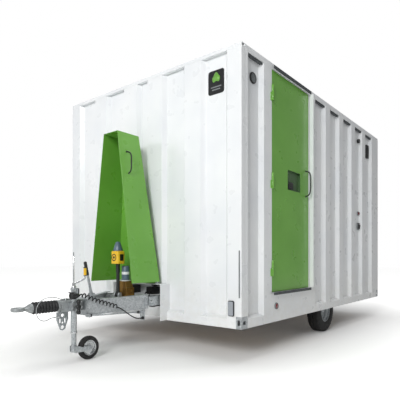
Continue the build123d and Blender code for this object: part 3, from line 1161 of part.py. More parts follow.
# Points of the routes, in the part's own frame. The lead runs from its gland to the parked plug.
LEAD_START = (290.0, -1465.0, 316.0)
LEAD_TAIL = [
    LEAD_START, (290.0, -1490.0, 316.0), (287.0, -1522.0, 322.0), (279.0, -1554.0, 338.0),
    (266.0, -1586.0, 362.0), (250.0, -1618.0, 390.0), (236.0, -1652.0, 416.0), (229.0, -1672.0, 426.0),
]
LEAD_CURL = [
    (229.0, -1672.0, 426.0), (216.0, -1709.14, 444.57), (194.0, -1770.0, 464.0), (172.0, -1835.0, 488.0),
    (150.0, -1889.0, 514.0), (131.0, -1928.0, 536.0), (124.0, -1953.0, 542.0), (124.0, -1975.0, 542.0),
]
CABLE_ROUTE = [
    (24.0, -2049.2, 510.0), (24.0, -2078.0, 510.0), (31.0, -2115.0, 526.0), (40.0, -2160.0, 536.0),
    (48.0, -2205.0, 538.0), (56.0, -2248.0, 531.0), (63.0, -2286.0, 512.0), (67.0, -2312.0, 480.0),
    (68.0, -2320.0, 440.0), (66.0, -2310.0, 402.0), (60.0, -2286.0, 375.0), (51.0, -2250.0, 360.0),
    (38.0, -2213.0, 359.0), (22.0, -2181.0, 367.0), (8.2, -2152.0, 371.0), (8.2, -2125.0, 371.0),
]
GLAND = 14.0
GLAND_LENGTH = 26.0
POST_AHEAD = 857.0  # the cable's post on the coupling head
CLIP_AHEAD = (902.0, 942.0)  # the clip that holds the cable to the drop plate

with BuildPart() as lead_gland:
    start = (LEAD_START[0], ahead(GLAND_AHEAD), LEAD_START[2])
    end = (LEAD_START[0], ahead(GLAND_AHEAD + GLAND_LENGTH), LEAD_START[2])
    rod(start, end, GLAND)
pieces["lead_gland"] = lead_gland

pieces["lead_tail"] = cord_tube(LEAD_TAIL, LEAD)
pieces["curly_lead"] = cord_tube(LEAD_CURL, CURL)

with BuildPart() as lead_plug:
    start, end = (PLUG_X, ahead(PLUG_BACK), up(PARK_HEIGHT)), (PLUG_X, ahead(PLUG_FRONT), up(PARK_HEIGHT))
    rod(start, end, PLUG_RADIUS)
pieces["lead_plug"] = lead_plug

pieces["breakaway_cable"] = cord_tube(CABLE_ROUTE, CABLE)

with BuildPart() as breakaway_hook:
    rod((24.0, ahead(POST_AHEAD), up(HEAD_TOP)), (24.0, ahead(POST_AHEAD), up(HEAD_TOP) + 17.0), 9.0)
    clip = (ahead(CLIP_AHEAD[1]), ahead(CLIP_AHEAD[0]))
    block((DROP_PLATE[3] / 2 + 0.3, 12.0), clip, (up(96.0), up(106.0)))
pieces["breakaway_hook"] = breakaway_hook

for label, piece in pieces.items():
    solid = piece.part if isinstance(piece, BuildPart) else piece
    solid.label = label
    export_step(solid, f"parts/{label}.step")
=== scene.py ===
# %% [markdown]
# # A towable site cabin
# The cabin is a box of folded steel sheet on a frame that lowers to the ground. A green hood folds down
# over its drawbar. The engineering model gives the place of every part, so this lesson only adds what
# makes it look real: rounded edges, rubber, castings, cables, paint and light. It starts by loading that
# model as a frame that doesn't change.

# %% Load the frame
import json
import math

import bmesh
import bpy
from mathutils import Matrix, Vector


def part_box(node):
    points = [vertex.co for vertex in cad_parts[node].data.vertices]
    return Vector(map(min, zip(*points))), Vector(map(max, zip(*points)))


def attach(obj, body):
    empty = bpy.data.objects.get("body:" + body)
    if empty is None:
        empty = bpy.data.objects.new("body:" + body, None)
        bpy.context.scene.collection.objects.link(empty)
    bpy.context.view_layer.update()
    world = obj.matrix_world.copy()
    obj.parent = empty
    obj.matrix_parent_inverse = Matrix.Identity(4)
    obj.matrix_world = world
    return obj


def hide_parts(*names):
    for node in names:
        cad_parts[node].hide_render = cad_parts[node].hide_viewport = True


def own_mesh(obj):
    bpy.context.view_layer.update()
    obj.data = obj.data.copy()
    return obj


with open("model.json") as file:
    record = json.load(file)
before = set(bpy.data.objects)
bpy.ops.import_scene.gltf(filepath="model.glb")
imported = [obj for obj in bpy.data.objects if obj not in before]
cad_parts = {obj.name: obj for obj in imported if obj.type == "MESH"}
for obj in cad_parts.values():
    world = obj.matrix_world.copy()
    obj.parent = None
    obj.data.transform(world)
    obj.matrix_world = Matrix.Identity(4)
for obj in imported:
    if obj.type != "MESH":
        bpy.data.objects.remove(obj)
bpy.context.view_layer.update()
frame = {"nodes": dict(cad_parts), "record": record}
nodes = frame["nodes"]

# %% [markdown]
# The camera stands low in front of the door side, about five metres from the front corner. It looks level,
# so that upright edges stay upright, and its shift brings the roof into view without tilting it.

# %% Camera
view = bpy.data.cameras.new("view")
view.lens = 37.66
view.sensor_width = 36.0
view.shift_y = 0.141
camera = bpy.data.objects.new("view", view)
camera.location = (2.993, -3.975, 0.855)
camera.rotation_euler = (math.radians(90.0), 0.0, math.radians(39.098))
bpy.context.scene.collection.objects.link(camera)
bpy.context.scene.camera = camera
print("camera at", tuple(round(v, 3) for v in camera.location))

# %% [markdown]
# Every finish is a small node tree. One function turns a colour written the way a paint chart gives it
# into the linear values that light needs. Another adds a node, sets it up and links its inputs.

# %% Colour and nodes
MM = 0.001


def linear(code):
    """The linear colour of an sRGB hex value."""
    parts = [int(code[k:k + 2], 16) / 255 for k in (1, 3, 5)]
    return [v / 12.92 if v <= 0.04045 else ((v + 0.055) / 1.055) ** 2.4 for v in parts] + [1.0]


def add(tree, kind, inputs=(), **settings):
    """A node of that kind, with its settings, and its inputs linked to a socket or set to a value."""
    node = tree.nodes.new("ShaderNode" + kind)
    for name, value in settings.items():
        setattr(node, name, value)
    for name, value in dict(inputs).items():
        if isinstance(value, bpy.types.NodeSocket):
            tree.links.new(value, node.inputs[name])
        else:
            node.inputs[name].default_value = value
    return node


def start_finish(name, **fixed):
    """A new material: its tree, its shader with these fixed values, and the place on the object in metres."""
    material = bpy.data.materials.new(name)
    material.use_nodes = True
    tree = material.node_tree
    shader = tree.nodes["Principled BSDF"]
    for label, value in fixed.items():
        shader.inputs[label.replace("_", " ")].default_value = value
    return material, tree, shader, add(tree, "TexCoord").outputs["Object"]


def mottle(tree, place, size, low, high, inputs=()):
    """A value that drifts between low and high over patches of that size in metres."""
    noise = add(tree, "TexNoise", {"Vector": place, "Scale": 1 / size, "Detail": 2.0, **dict(inputs)})
    steps = {"Value": noise.outputs["Fac"], "From Min": 0.3, "From Max": 0.7, "To Min": low, "To Max": high}
    return add(tree, "MapRange", steps).outputs["Result"]


def blend_colours(tree, share, one, two):
    """A colour between two, each a hex value or a socket, by a share from 0 to 1."""
    ends = {k: v if isinstance(v, bpy.types.NodeSocket) else linear(v) for k, v in (("A", one), ("B", two))}
    mix = add(tree, "Mix", {"Factor": share}, data_type="RGBA")
    for socket in mix.inputs:
        if socket.type == "RGBA":
            value = ends[socket.name]
            if isinstance(value, bpy.types.NodeSocket):
                tree.links.new(value, socket)
            else:
                socket.default_value = value
    return next(s for s in mix.outputs if s.type == "RGBA")


def roughen(tree, shader, height, depth, strength=1.0):
    """Bump the shader by a height from 0 to 1 that stands for a depth in metres."""
    bump = add(tree, "Bump", {"Height": height, "Distance": depth, "Strength": strength})
    tree.links.new(bump.outputs["Normal"], shader.inputs["Normal"])


print("a mid grey is", [round(v, 3) for v in linear("#808080")[:3]])

# %% [markdown]
# ## Rubber and cord jackets
# The electric lead has a thermoplastic elastomer jacket. It is extruded, so it is smooth, with a dull
# sheen along its length and a faint bloom of dust. The breakaway cable is steel rope in clear grey vinyl,
# which is glossier. They come first because the cords are placed before anything else.

# %% Rubber, elastomer and vinyl
def moulded(name, one, two, rough, grain=0.0, size=0.05, **fixed):
    """A moulded or extruded polymer: a colour that drifts a little, a worn sheen and perhaps a grain."""
    material, tree, shader, place = start_finish(name, **fixed)
    tint = blend_colours(tree, mottle(tree, place, size, 0.0, 1.0), one, two)
    tree.links.new(tint, shader.inputs["Base Color"])
    tree.links.new(mottle(tree, place, size * 0.6, rough[0], rough[1]), shader.inputs["Roughness"])
    if grain:
        fine = add(tree, "TexNoise", {"Vector": place, "Scale": 1 / grain, "Detail": 2.0})
        roughen(tree, shader, fine.outputs["Fac"], grain * 0.12)
    return material


jacket = moulded("elastomer_jacket", "#121314", "#1C1D1E", (0.42, 0.55))
vinyl = moulded("clear_vinyl_over_rope", "#8D9092", "#A6A9AA", (0.2, 0.32), Coat_Weight=0.6)
rubber = moulded("moulded_rubber", "#17181A", "#222325", (0.55, 0.72), grain=1.5 * MM)
tyre_rubber = moulded("tyre_rubber", "#151516", "#232221", (0.7, 0.9), grain=2.0 * MM, size=0.03)
black_abs = moulded("moulded_black_abs", "#101112", "#17181A", (0.32, 0.45), grain=1.0 * MM)
yellow_abs = moulded("moulded_yellow_abs", "#D8A91B", "#E6BC2E", (0.3, 0.42), grain=1.2 * MM)
grey_abs = moulded("moulded_grey_abs", "#6F7375", "#7C8082", (0.35, 0.5), grain=1.0 * MM)
print("polymers:", [m.name for m in (jacket, vinyl, rubber, tyre_rubber, black_abs, yellow_abs, grey_abs)])

# %% [markdown]
# ## Pieces
# A piece is one object in its place in the frame. It takes a finish, rides on one of the bodies, and may
# stand for parts of the engineering model, which are then hidden. Edges of real metal are never perfectly
# sharp, so each piece also gets a small bevel that catches the light.

# %% Making a piece
def piece(name, data, finish, body, replaces=(), bevel=0.0, smooth=True, angle=30.0):
    """Put data, a mesh, bmesh or curve, in the scene as one piece of the object."""
    if isinstance(data, bmesh.types.BMesh):
        bmesh.ops.recalc_face_normals(data, faces=data.faces)
        mesh = bpy.data.meshes.new(name)
        data.to_mesh(mesh)
        data.free()
        data = mesh
    data.materials.append(finish)
    made = bpy.data.objects.new(name, data)
    bpy.context.scene.collection.objects.link(made)
    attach(made, body)
    if replaces:
        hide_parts(*replaces)
    if isinstance(data, bpy.types.Mesh):
        soften(made, bevel, angle, smooth)
    return made


def soften(made, width, angle=30.0, smooth=True, segments=2):
    """Round the edges that turn by more than the angle, and shade the rest smooth."""
    if smooth and made.name not in nodes:
        made.data.shade_smooth()
    if width:
        edge = made.modifiers.new("rounded_edges", "BEVEL")
        edge.width = width
        edge.segments = segments
        edge.limit_method = "ANGLE"
        edge.angle_limit = math.radians(angle)
        edge.harden_normals = True


def bar(points, radius, closed=False, steps=4):
    """A round bar or cord: a NURBS curve through those control points, with a round section."""
    curve = bpy.data.curves.new("bar", "CURVE")
    curve.dimensions = "3D"
    curve.bevel_depth = radius
    curve.bevel_resolution = steps
    curve.use_fill_caps = not closed
    curve.resolution_u = 8
    spline = curve.splines.new("NURBS")
    spline.points.add(len(points) - 1)
    for point, place in zip(spline.points, points):
        point.co = (*place, 1.0)
    spline.order_u = 3
    spline.use_cyclic_u = closed
    spline.use_endpoint_u = not closed
    return curve


# %% [markdown]
# ## The electric lead and the breakaway cable
# The lead leaves its gland as a straight tail and then winds into a spring, as a telephone cord does, up
# to a plug that is parked beside the jockey tube. A spring like this is one spline: the tail's points,
# then points on a helix round the route of the coil. The helix follows points read from the route's own
# NURBS curve, so that its axis bends as smoothly as the tail does.

# %% Routes of the cords
LEAD_TAIL = [
    (0.290, -1.465, 0.316), (0.290, -1.490, 0.316), (0.287, -1.522, 0.322), (0.279, -1.554, 0.338),
    (0.266, -1.586, 0.362), (0.250, -1.618, 0.390), (0.236, -1.652, 0.416), (0.229, -1.672, 0.426),
]
LEAD_CURL = [
    (0.229, -1.672, 0.426), (0.216, -1.70914, 0.44457), (0.194, -1.770, 0.464), (0.172, -1.835, 0.488),
    (0.150, -1.889, 0.514), (0.131, -1.928, 0.536), (0.124, -1.953, 0.542), (0.124, -1.975, 0.542),
]
CABLE_ROUTE = [
    (0.024, -2.0492, 0.510), (0.024, -2.078, 0.510), (0.031, -2.115, 0.526), (0.040, -2.160, 0.536),
    (0.048, -2.205, 0.538), (0.056, -2.248, 0.531), (0.063, -2.286, 0.512), (0.067, -2.312, 0.480),
    (0.068, -2.320, 0.440), (0.066, -2.310, 0.402), (0.060, -2.286, 0.375), (0.051, -2.250, 0.360),
    (0.038, -2.213, 0.359), (0.022, -2.181, 0.367), (0.0082, -2.152, 0.371), (0.0082, -2.125, 0.371),
]
LEAD_DIAMETER = 0.010
CABLE_DIAMETER = 0.006


def line_of(points):
    """Points read along the smooth curve that has those control points."""
    curve = bar(points, 0.0)
    curve.resolution_u = 24
    reader = bpy.data.objects.new("reader", curve)
    bpy.context.scene.collection.objects.link(reader)
    mesh = bpy.data.meshes.new_from_object(reader)
    line = [v.co.copy() for v in mesh.vertices]
    bpy.data.objects.remove(reader)
    bpy.data.meshes.remove(mesh)
    return line


def length_of(line):
    """Length of a line of points in metres."""
    return sum((b - a).length for a, b in zip(line, line[1:]))


print("tail", round(length_of(line_of(LEAD_TAIL)), 4), "cable", round(length_of(line_of(CABLE_ROUTE)), 4))

# %% Winding the curly part
TURNS = 11
POINTS_A_TURN = 12
COIL_RADIUS = 0.0155  # from the axis to the control points of the helix
RAMP = 0.07  # share of the coil over which it opens out from its axis


def winding(line, turns, radius):
    """Control points of a helix round a line. It opens out from the line at each end."""
    total = length_of(line)
    count = turns * POINTS_A_TURN
    wound, walked, k = [], 0.0, 0
    for step in range(1, count):
        share = step / count
        while k < len(line) - 2 and walked + (line[k + 1] - line[k]).length < share * total:
            walked += (line[k + 1] - line[k]).length
            k += 1
        run = line[k + 1] - line[k]
        middle = line[k] + run * ((share * total - walked) / run.length)
        along = run.normalized()
        across = along.cross(Vector((0, 0, 1))).normalized()
        open_share = min(1.0, share / RAMP, (1.0 - share) / RAMP)
        turn = math.tau * turns * share
        out = across * math.cos(turn) + along.cross(across) * math.sin(turn)
        wound.append(middle + out * radius * math.sin(open_share * math.pi / 2))
    return wound


coil = winding(line_of(LEAD_CURL), TURNS, COIL_RADIUS)
plug_low, plug_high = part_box("lead_plug")
plug_middle = (plug_low + plug_high) / 2
PLUG_BACK = (plug_middle.x, plug_high.y, plug_middle.z)
lead_points = LEAD_TAIL[:-1] + coil + [PLUG_BACK]
lead_length = length_of(line_of(lead_points))
lead = piece("electric_lead", bar(lead_points, LEAD_DIAMETER / 2), jacket, "drawbar",
             ("lead_tail", "curly_lead"))
cable = piece("breakaway_cable_run", bar(CABLE_ROUTE, CABLE_DIAMETER / 2), vinyl, "drawbar",
              ("breakaway_cable",))
cable_length = length_of(line_of(CABLE_ROUTE))
print("lead", round(lead_length, 4), "m, cable", round(cable_length, 4), "m, turns", TURNS)

# %% [markdown]
# ## Paint
# The body is sheet steel with sprayed white enamel. Enamel levels out but keeps a faint ripple a few
# millimetres across, called orange peel. The body has stood outside, so the white is a little uneven and
# road dust dulls its lowest part. The door and the hood have the same enamel in green.

# %% White and green enamel
ORANGE_PEEL = 30 * MM  # the real ripple is 3 to 5 mm, which is too fine to show


def enamel(name, one, two, dust, rough=(0.26, 0.36)):
    """Sprayed enamel on steel sheet: even colour, soft gloss, orange peel and dust near the ground."""
    material, tree, shader, place = start_finish(name, IOR=1.5, Coat_Weight=0.15, Coat_Roughness=0.12)
    tint = blend_colours(tree, mottle(tree, place, 0.35, 0.0, 1.0), one, two)
    height = add(tree, "SeparateXYZ", {"Vector": place}).outputs["Z"]
    low = add(tree, "MapRange", {"Value": height, "From Min": 0.27, "From Max": 0.75, "To Min": 0.45,
                                 "To Max": 0.0}).outputs["Result"]
    streaks = mottle(tree, place, 0.06, 0.2, 1.0)
    share = add(tree, "Math", {0: low, 1: streaks}, operation="MULTIPLY").outputs["Value"]
    tree.links.new(blend_colours(tree, share, tint, dust), shader.inputs["Base Color"])
    tree.links.new(mottle(tree, place, 0.12, rough[0], rough[1]), shader.inputs["Roughness"])
    peel = add(tree, "TexNoise", {"Vector": place, "Scale": 1 / ORANGE_PEEL, "Detail": 1.0})
    roughen(tree, shader, peel.outputs["Fac"], 0.1 * MM)
    return material


white_enamel = enamel("white_enamel", "#DDE0E3", "#E5E7E8", "#CFCDC6")
green_enamel = enamel("green_enamel", "#639E38", "#6BA640", "#7D9C58")
print("enamels:", white_enamel.name, green_enamel.name)

# %% [markdown]
# ## Zinc and steel
# The drawbar, the rims and the axle are hot-dip galvanised. The zinc freezes into flat crystals, the
# spangle, about a centimetre across, each a slightly different grey. Small fittings are zinc plated, which
# is finer and brighter. The coupling is a casting under grey paint, so its surface is sandy.

# %% Metals
SPANGLE = 11 * MM
CASTING_GRIT = 2.5 * MM


def spangled(name, one, two, rough):
    """Hot-dip zinc: flat crystals of different greys that are dull where the zinc has weathered."""
    material, tree, shader, place = start_finish(name, Metallic=0.75)
    crystal = add(tree, "TexVoronoi", {"Vector": place, "Scale": 1 / SPANGLE, "Randomness": 1.0})
    grey = add(tree, "SeparateColor", {"Color": crystal.outputs["Color"]}).outputs["Red"]
    tree.links.new(blend_colours(tree, grey, one, two), shader.inputs["Base Color"])
    shine = add(tree, "MapRange", {"Value": grey, "To Min": rough[0], "To Max": rough[1]}).outputs["Result"]
    tree.links.new(shine, shader.inputs["Roughness"])
    roughen(tree, shader, crystal.outputs["Distance"], 0.05 * MM)
    return material


def bare_metal(name, one, two, rough, grit, depth, metallic=1.0):
    """Plated, rolled or cast metal: two close greys, a sheen and a grain of that size in metres."""
    material, tree, shader, place = start_finish(name, Metallic=metallic)
    tree.links.new(blend_colours(tree, mottle(tree, place, 0.04, 0.0, 1.0), one, two),
                   shader.inputs["Base Color"])
    tree.links.new(mottle(tree, place, 0.02, rough[0], rough[1]), shader.inputs["Roughness"])
    grain = add(tree, "TexNoise", {"Vector": place, "Scale": 1 / grit, "Detail": 3.0})
    roughen(tree, shader, grain.outputs["Fac"], depth)
    return material


galvanised = spangled("hot_dip_galvanised", "#9DA2A5", "#C3C7C9", (0.34, 0.5))
zinc_plate = bare_metal("bright_zinc_plate", "#C4C7C9", "#D6D8D9", (0.18, 0.3), 1.5 * MM, 0.02 * MM)
stainless = bare_metal("brushed_stainless", "#A9ABAD", "#BDBFC0", (0.24, 0.36), 0.8 * MM, 0.02 * MM)
cast_grey = bare_metal("painted_casting", "#8C9091", "#A1A5A6", (0.38, 0.52), CASTING_GRIT, 0.25 * MM, 0.35)
powder_coat = bare_metal("black_powder_coat", "#131416", "#1B1C1E", (0.4, 0.52), 1.2 * MM, 0.08 * MM, 0.0)
pump_enamel = bare_metal("blue_grey_enamel", "#4C5E6E", "#5B6D7C", (0.3, 0.42), 4 * MM, 0.05 * MM, 0.0)
brass = bare_metal("cast_brass", "#8A6A35", "#A88248", (0.35, 0.5), 2 * MM, 0.1 * MM, 0.9)
print("metals:", [m.name
                  for m in (galvanised, zinc_plate, stainless, cast_grey, powder_coat, pump_enamel, brass)])

# %% [markdown]
# ## Board and lenses
# Inside, the floor is birch plywood and the lining is white laminated board. The lamps have clear, amber
# and red acrylic lenses, moulded with ribs that spread the light.

# %% Board and acrylic
PLY_GRAIN = 4 * MM
LENS_RIB = 4 * MM


def acrylic(name, colour, deep):
    """A moulded acrylic lens: saturated, very smooth, with ribs behind its face."""
    material, tree, shader, place = start_finish(name, Roughness=0.12, IOR=1.49, Coat_Weight=0.8)
    ribs = add(tree, "TexWave", {"Vector": place, "Scale": 1 / LENS_RIB / 6.28}, bands_direction="Z")
    tree.links.new(blend_colours(tree, ribs.outputs["Fac"], deep, colour), shader.inputs["Base Color"])
    roughen(tree, shader, ribs.outputs["Fac"], 0.4 * MM)
    return material


def boarded(name, one, two, stretch, rough, grain):
    """Board: grain of that width in metres, drawn out along the length of the floor."""
    material, tree, shader, place = start_finish(name, Roughness=rough)
    drawn = add(tree, "Mapping", {"Vector": place, "Scale": (1.0, stretch, 1.0)})
    lines = add(tree, "TexNoise", {"Vector": drawn.outputs["Vector"], "Scale": 1 / grain, "Detail": 5.0})
    tree.links.new(blend_colours(tree, lines.outputs["Fac"], one, two), shader.inputs["Base Color"])
    roughen(tree, shader, lines.outputs["Fac"], 0.1 * MM)
    return material


clear_lens = acrylic("clear_lens", "#A9AEB4", "#70757B")
red_lens = acrylic("red_lens", "#8E1018", "#4D060B")
amber_lens = acrylic("amber_lens", "#D9790E", "#A85306")
plywood = boarded("birch_plywood", "#A98556", "#C9A878", 0.06, 0.6, PLY_GRAIN)
lining_board = boarded("white_laminate", "#DAD9D4", "#E3E2DE", 1.0, 0.4, 8 * MM)
print("board and lenses:", plywood.name, lining_board.name, clear_lens.name, red_lens.name, amber_lens.name)

# %% [markdown]
# ## Finishing the engineering parts
# Most folded, welded and turned parts already have their true shape. They keep it, and take a finish by
# the slot that the record gives them. Their vertices are split at each sharp edge, so a weld comes first
# and then a bevel of about a millimetre, the radius of a press-brake fold or a dressed weld.

# %% Finishes by slot
by_slot = {
    "white_paint": white_enamel, "green_paint": green_enamel, "galvanised": galvanised,
    "bright_steel": stainless, "cast_paint": cast_grey, "black_paint": powder_coat,
    "black_plastic": black_abs, "lamp_plastic": clear_lens, "plate_plastic": black_abs,
    "yellow_plastic": yellow_abs, "rubber": rubber, "tyre": tyre_rubber, "plywood": plywood,
    "lining_board": lining_board, "pump_paint": pump_enamel,
}
slots = {part["node"]: part["material_slot"] for part in frame["record"]["subparts"]}
for name, node in nodes.items():
    finish = by_slot[slots[name]]
    if not node.data.materials:
        node.data.materials.append(finish)
    for place in node.material_slots:
        place.material = finish
    weld = node.modifiers.new("welded_edges", "WELD")
    weld.merge_threshold = 0.01 * MM
    soften(node, 1.2 * MM)
print("finished", len(nodes), "parts in", len(set(slots.values())), "finishes")

# %% [markdown]
# ## Turning and cutting shapes
# Tyres, rims, bellows, bolts and grips are turned: half a section swept round an axis. Levers and plates
# are cut: an outline with a thickness. Both are drawn straight into a mesh, so one piece can hold as many
# of them as the real part has.

# %% Turned and cut shapes
# Directions that a plate's outline is drawn along, to the right and upward, by the axis that it faces
FACING_X = ((0, 1, 0), (0, 0, 1))
FACING_Y = ((1, 0, 0), (0, 0, 1))
FACING_Z = ((1, 0, 0), (0, 1, 0))


def turn(mesh, outline, centre, axis, steps=48, closed=False):
    """Sweep a half section round an axis. Its points are (along the axis, out from it)."""
    axis = Vector(axis).normalized()
    across = axis.orthogonal().normalized()
    other = axis.cross(across)
    rings = []
    for along, out in outline:
        middle = Vector(centre) + axis * along
        count = steps if out > 1e-6 else 1
        turns = [math.tau * k / steps for k in range(count)]
        rings.append([mesh.verts.new(middle + (across * math.cos(a) + other * math.sin(a)) * out)
                      for a in turns])
    pairs = list(zip(rings, rings[1:]))
    if closed:
        pairs.append((rings[-1], rings[0]))
    for one, two in pairs:
        for k in range(steps):
            corners = []
            for ring, step in ((one, k), (one, k + 1), (two, k + 1), (two, k)):
                corner = ring[step % len(ring)]
                if corner not in corners:
                    corners.append(corner)
            mesh.faces.new(corners)
    return [v for ring in rings for v in ring]


def cut(mesh, outline, origin, right, upward, thick):
    """A plate: an outline drawn along two directions from its middle, with half its thickness each way."""
    right, upward = Vector(right).normalized(), Vector(upward).normalized()
    normal = right.cross(upward) * (thick / 2)
    flat = [Vector(origin) + right * a + upward * b for a, b in outline]
    near = [mesh.verts.new(p + normal) for p in flat]
    far = [mesh.verts.new(p - normal) for p in flat]
    mesh.faces.new(near)
    mesh.faces.new(far[::-1])
    for k in range(len(flat)):
        n = (k + 1) % len(flat)
        mesh.faces.new((near[k], far[k], far[n], near[n]))


def rounded(width, height, radius, steps=5):
    """Outline of a rectangle with round corners, about its middle."""
    outline = []
    for k, (a, b) in enumerate(((1, 1), (-1, 1), (-1, -1), (1, -1))):
        centre = (a * (width / 2 - radius), b * (height / 2 - radius))
        for step in range(steps + 1):
            turn_by = math.pi / 2 * (k + step / steps)
            outline.append((centre[0] + radius * math.cos(turn_by), centre[1] + radius * math.sin(turn_by)))
    return outline


def box_between(mesh, low, high):
    """A box between two corners."""
    low, high = Vector(low), Vector(high)
    size = high - low
    cut(mesh, [(-size.x / 2, -size.z / 2), (size.x / 2, -size.z / 2), (size.x / 2, size.z / 2),
               (-size.x / 2, size.z / 2)], (low + high) / 2, *FACING_Y, size.y)


def middle_of(node):
    """Middle of a node's box, and its size."""
    low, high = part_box(node)
    return (low + high) / 2, high - low


def bolt(mesh, place, axis, size=0.010, washer=True):
    """A hexagon head with its washer, size metres across the thread."""
    if washer:
        turn(mesh, [(0.0, 0.0), (0.0, size), (0.002, size), (0.002, 0.0)], place, axis, 24)
    head = 0.002 if washer else 0.0
    turn(mesh, [(head, 0.0), (head, size * 0.9), (head + size * 0.6, size * 0.9),
                (head + size * 0.65, size * 0.75),
                (head + size * 0.65, 0.0)], place, axis, 6)


print("a test outline has", len(rounded(0.1, 0.1, 0.01)), "points")

# %% [markdown]
# ## Road wheels
# The wheels carry small trailer tyres. Their tread has three grooves and notched shoulders, and a rib
# protects each side wall. Each rim is a rolled barrel with a pressed disc, which has eight hand holes,
# four nuts and a dust cap over the hub.

# %% Tyres
TREAD_GROOVES = (-0.036, 0.0, 0.036)
GROOVE = (0.0035, 0.006)  # half width and depth of a groove
NOTCHES = 60


def tyre_section(half, tread, bead):
    """Half section of a tyre from bead to bead, with its grooves and its side wall ribs."""
    side = [(half - 0.016, bead), (half - 0.006, bead + 0.008), (half - 0.001, bead + 0.026),
            (half - 0.002, bead + 0.036), (half, bead + 0.040), (half - 0.001, bead + 0.052),
            (half - 0.004, tread - 0.036), (half - 0.009, tread - 0.020), (half - 0.014, tread - 0.008),
            (half - 0.023, tread - 0.001)]
    top = []
    for groove in TREAD_GROOVES:
        width, depth = GROOVE
        top += [(groove - width, tread), (groove - width + 0.001, tread - depth),
                (groove + width - 0.001, tread - depth), (groove + width, tread)]
    left = [(-along, out) for along, out in side]
    return left + top + side[::-1] + [(half - 0.026, bead + 0.03), (0.0, tread - 0.02),
                                      (-half + 0.026, bead + 0.03)]


for side, name in ((1, "left"), (-1, "right")):
    centre, size = middle_of(f"tyre_{name}")
    mesh = bmesh.new()
    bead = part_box(f"rim_{name}")[1].z - middle_of(f"rim_{name}")[0].z + 0.0006
    half, tread = size.x / 2, size.z / 2
    turn(mesh, tyre_section(half, tread, bead), centre, (1, 0, 0), 3 * NOTCHES, closed=True)
    for vertex in mesh.verts:
        out = vertex.co - centre
        along, out.x = out.x, 0.0
        step = round(math.atan2(out.z, out.y) / math.tau * 3 * NOTCHES)
        if abs(along) > half - 0.024 and out.length > tread - 0.022 and step % 3 == 0:
            vertex.co -= out.normalized() * 0.006
    tyre = piece(f"road_tyre_{name}", mesh, tyre_rubber, f"wheel_{name}", (f"tyre_{name}",), 0.0)
    print(tyre.name, "radius", round(tread, 3), "bead", round(bead, 3), "faces", len(tyre.data.polygons))

# %% Rims
HOLES = 8
DISC_STEPS = 64

for side, name in ((1, "left"), (-1, "right")):
    centre, size = middle_of(f"rim_{name}")
    seat = size.z / 2
    low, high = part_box(f"rim_{name}")
    half = middle_of(f"tyre_{name}")[1].x / 2 - 0.012
    wheel_x = middle_of(f"tyre_{name}")[0].x
    axis = (side, 0, 0)
    hub = Vector((wheel_x, centre.y, centre.z))
    stub = (high.x if side > 0 else -low.x) - abs(wheel_x)
    disc = 0.0225
    mesh = bmesh.new()
    turn(mesh, [(-half, seat), (-half, seat - 0.005), (-0.042, seat - 0.008), (-0.026, seat - 0.022),
                (0.024, seat - 0.022),
                (0.040, seat - 0.008), (half, seat - 0.005), (half, seat), (0.040, seat - 0.004),
                (0.024, seat - 0.017), (-0.026, seat - 0.017), (-0.042, seat - 0.004)], hub, axis, 96,
                closed=True)
    rings = [(disc + 0.001, 0.036), (disc, 0.050), (disc - 0.008, 0.058), (disc - 0.011, 0.068),
             (disc - 0.012, 0.086),
             (disc - 0.008, 0.094), (disc - 0.014, seat - 0.020)]
    sheet = bmesh.new()
    turn(sheet, rings, hub, axis, DISC_STEPS)
    window = []
    for face in sheet.faces:
        out = face.calc_center_median() - hub
        out.x = 0.0
        step = int((math.atan2(out.z, out.y) / math.tau * DISC_STEPS) % DISC_STEPS)
        if 0.066 < out.length < 0.088 and step % (DISC_STEPS // HOLES) < 3:
            window.append(face)
    bmesh.ops.delete(sheet, geom=window, context="FACES")
    pressed = piece(f"rim_disc_{name}", sheet, galvanised, f"wheel_{name}")
    thick = pressed.modifiers.new("sheet", "SOLIDIFY")
    thick.thickness = 0.004
    thick.offset = -side
    soften(pressed, 0.001)
    for k in range(4):
        turn_by = math.tau * k / 4
        nut = hub + Vector((side * (disc - 0.002), 0.042 * math.cos(turn_by), 0.042 * math.sin(turn_by)))
        bolt(mesh, nut, axis, 0.011)
    turn(mesh, [(disc - 0.03, 0.030), (disc + 0.004, 0.030), (disc + 0.010, 0.027), (disc + 0.013, 0.018),
                (disc + 0.014, 0.0)], hub, axis, 32)
    turn(mesh, [(-0.043, 0.0215), (-0.043, 0.052), (disc - 0.002, 0.052), (disc - 0.002, 0.030)], hub, axis,
         48)
    valve = hub + Vector((0, 0, seat - 0.035))
    turn(mesh, [(disc - 0.012, 0.004), (disc + 0.012, 0.004), (disc + 0.014, 0.0025), (disc + 0.014, 0.0)],
         valve, axis, 12)
    rim = piece(f"rim_barrel_{name}", mesh, galvanised, f"wheel_{name}", (f"rim_{name}",),
                0.0008)
    print(rim.name, "seat", round(seat, 3), "stub", round(stub, 3))

# %% [markdown]
# ## Finding the places of small parts
# Lamps, vents and plates are each one node with several solids. Each solid's own box is found by walking
# over faces that share vertices. Hinge points come from the record's joints.

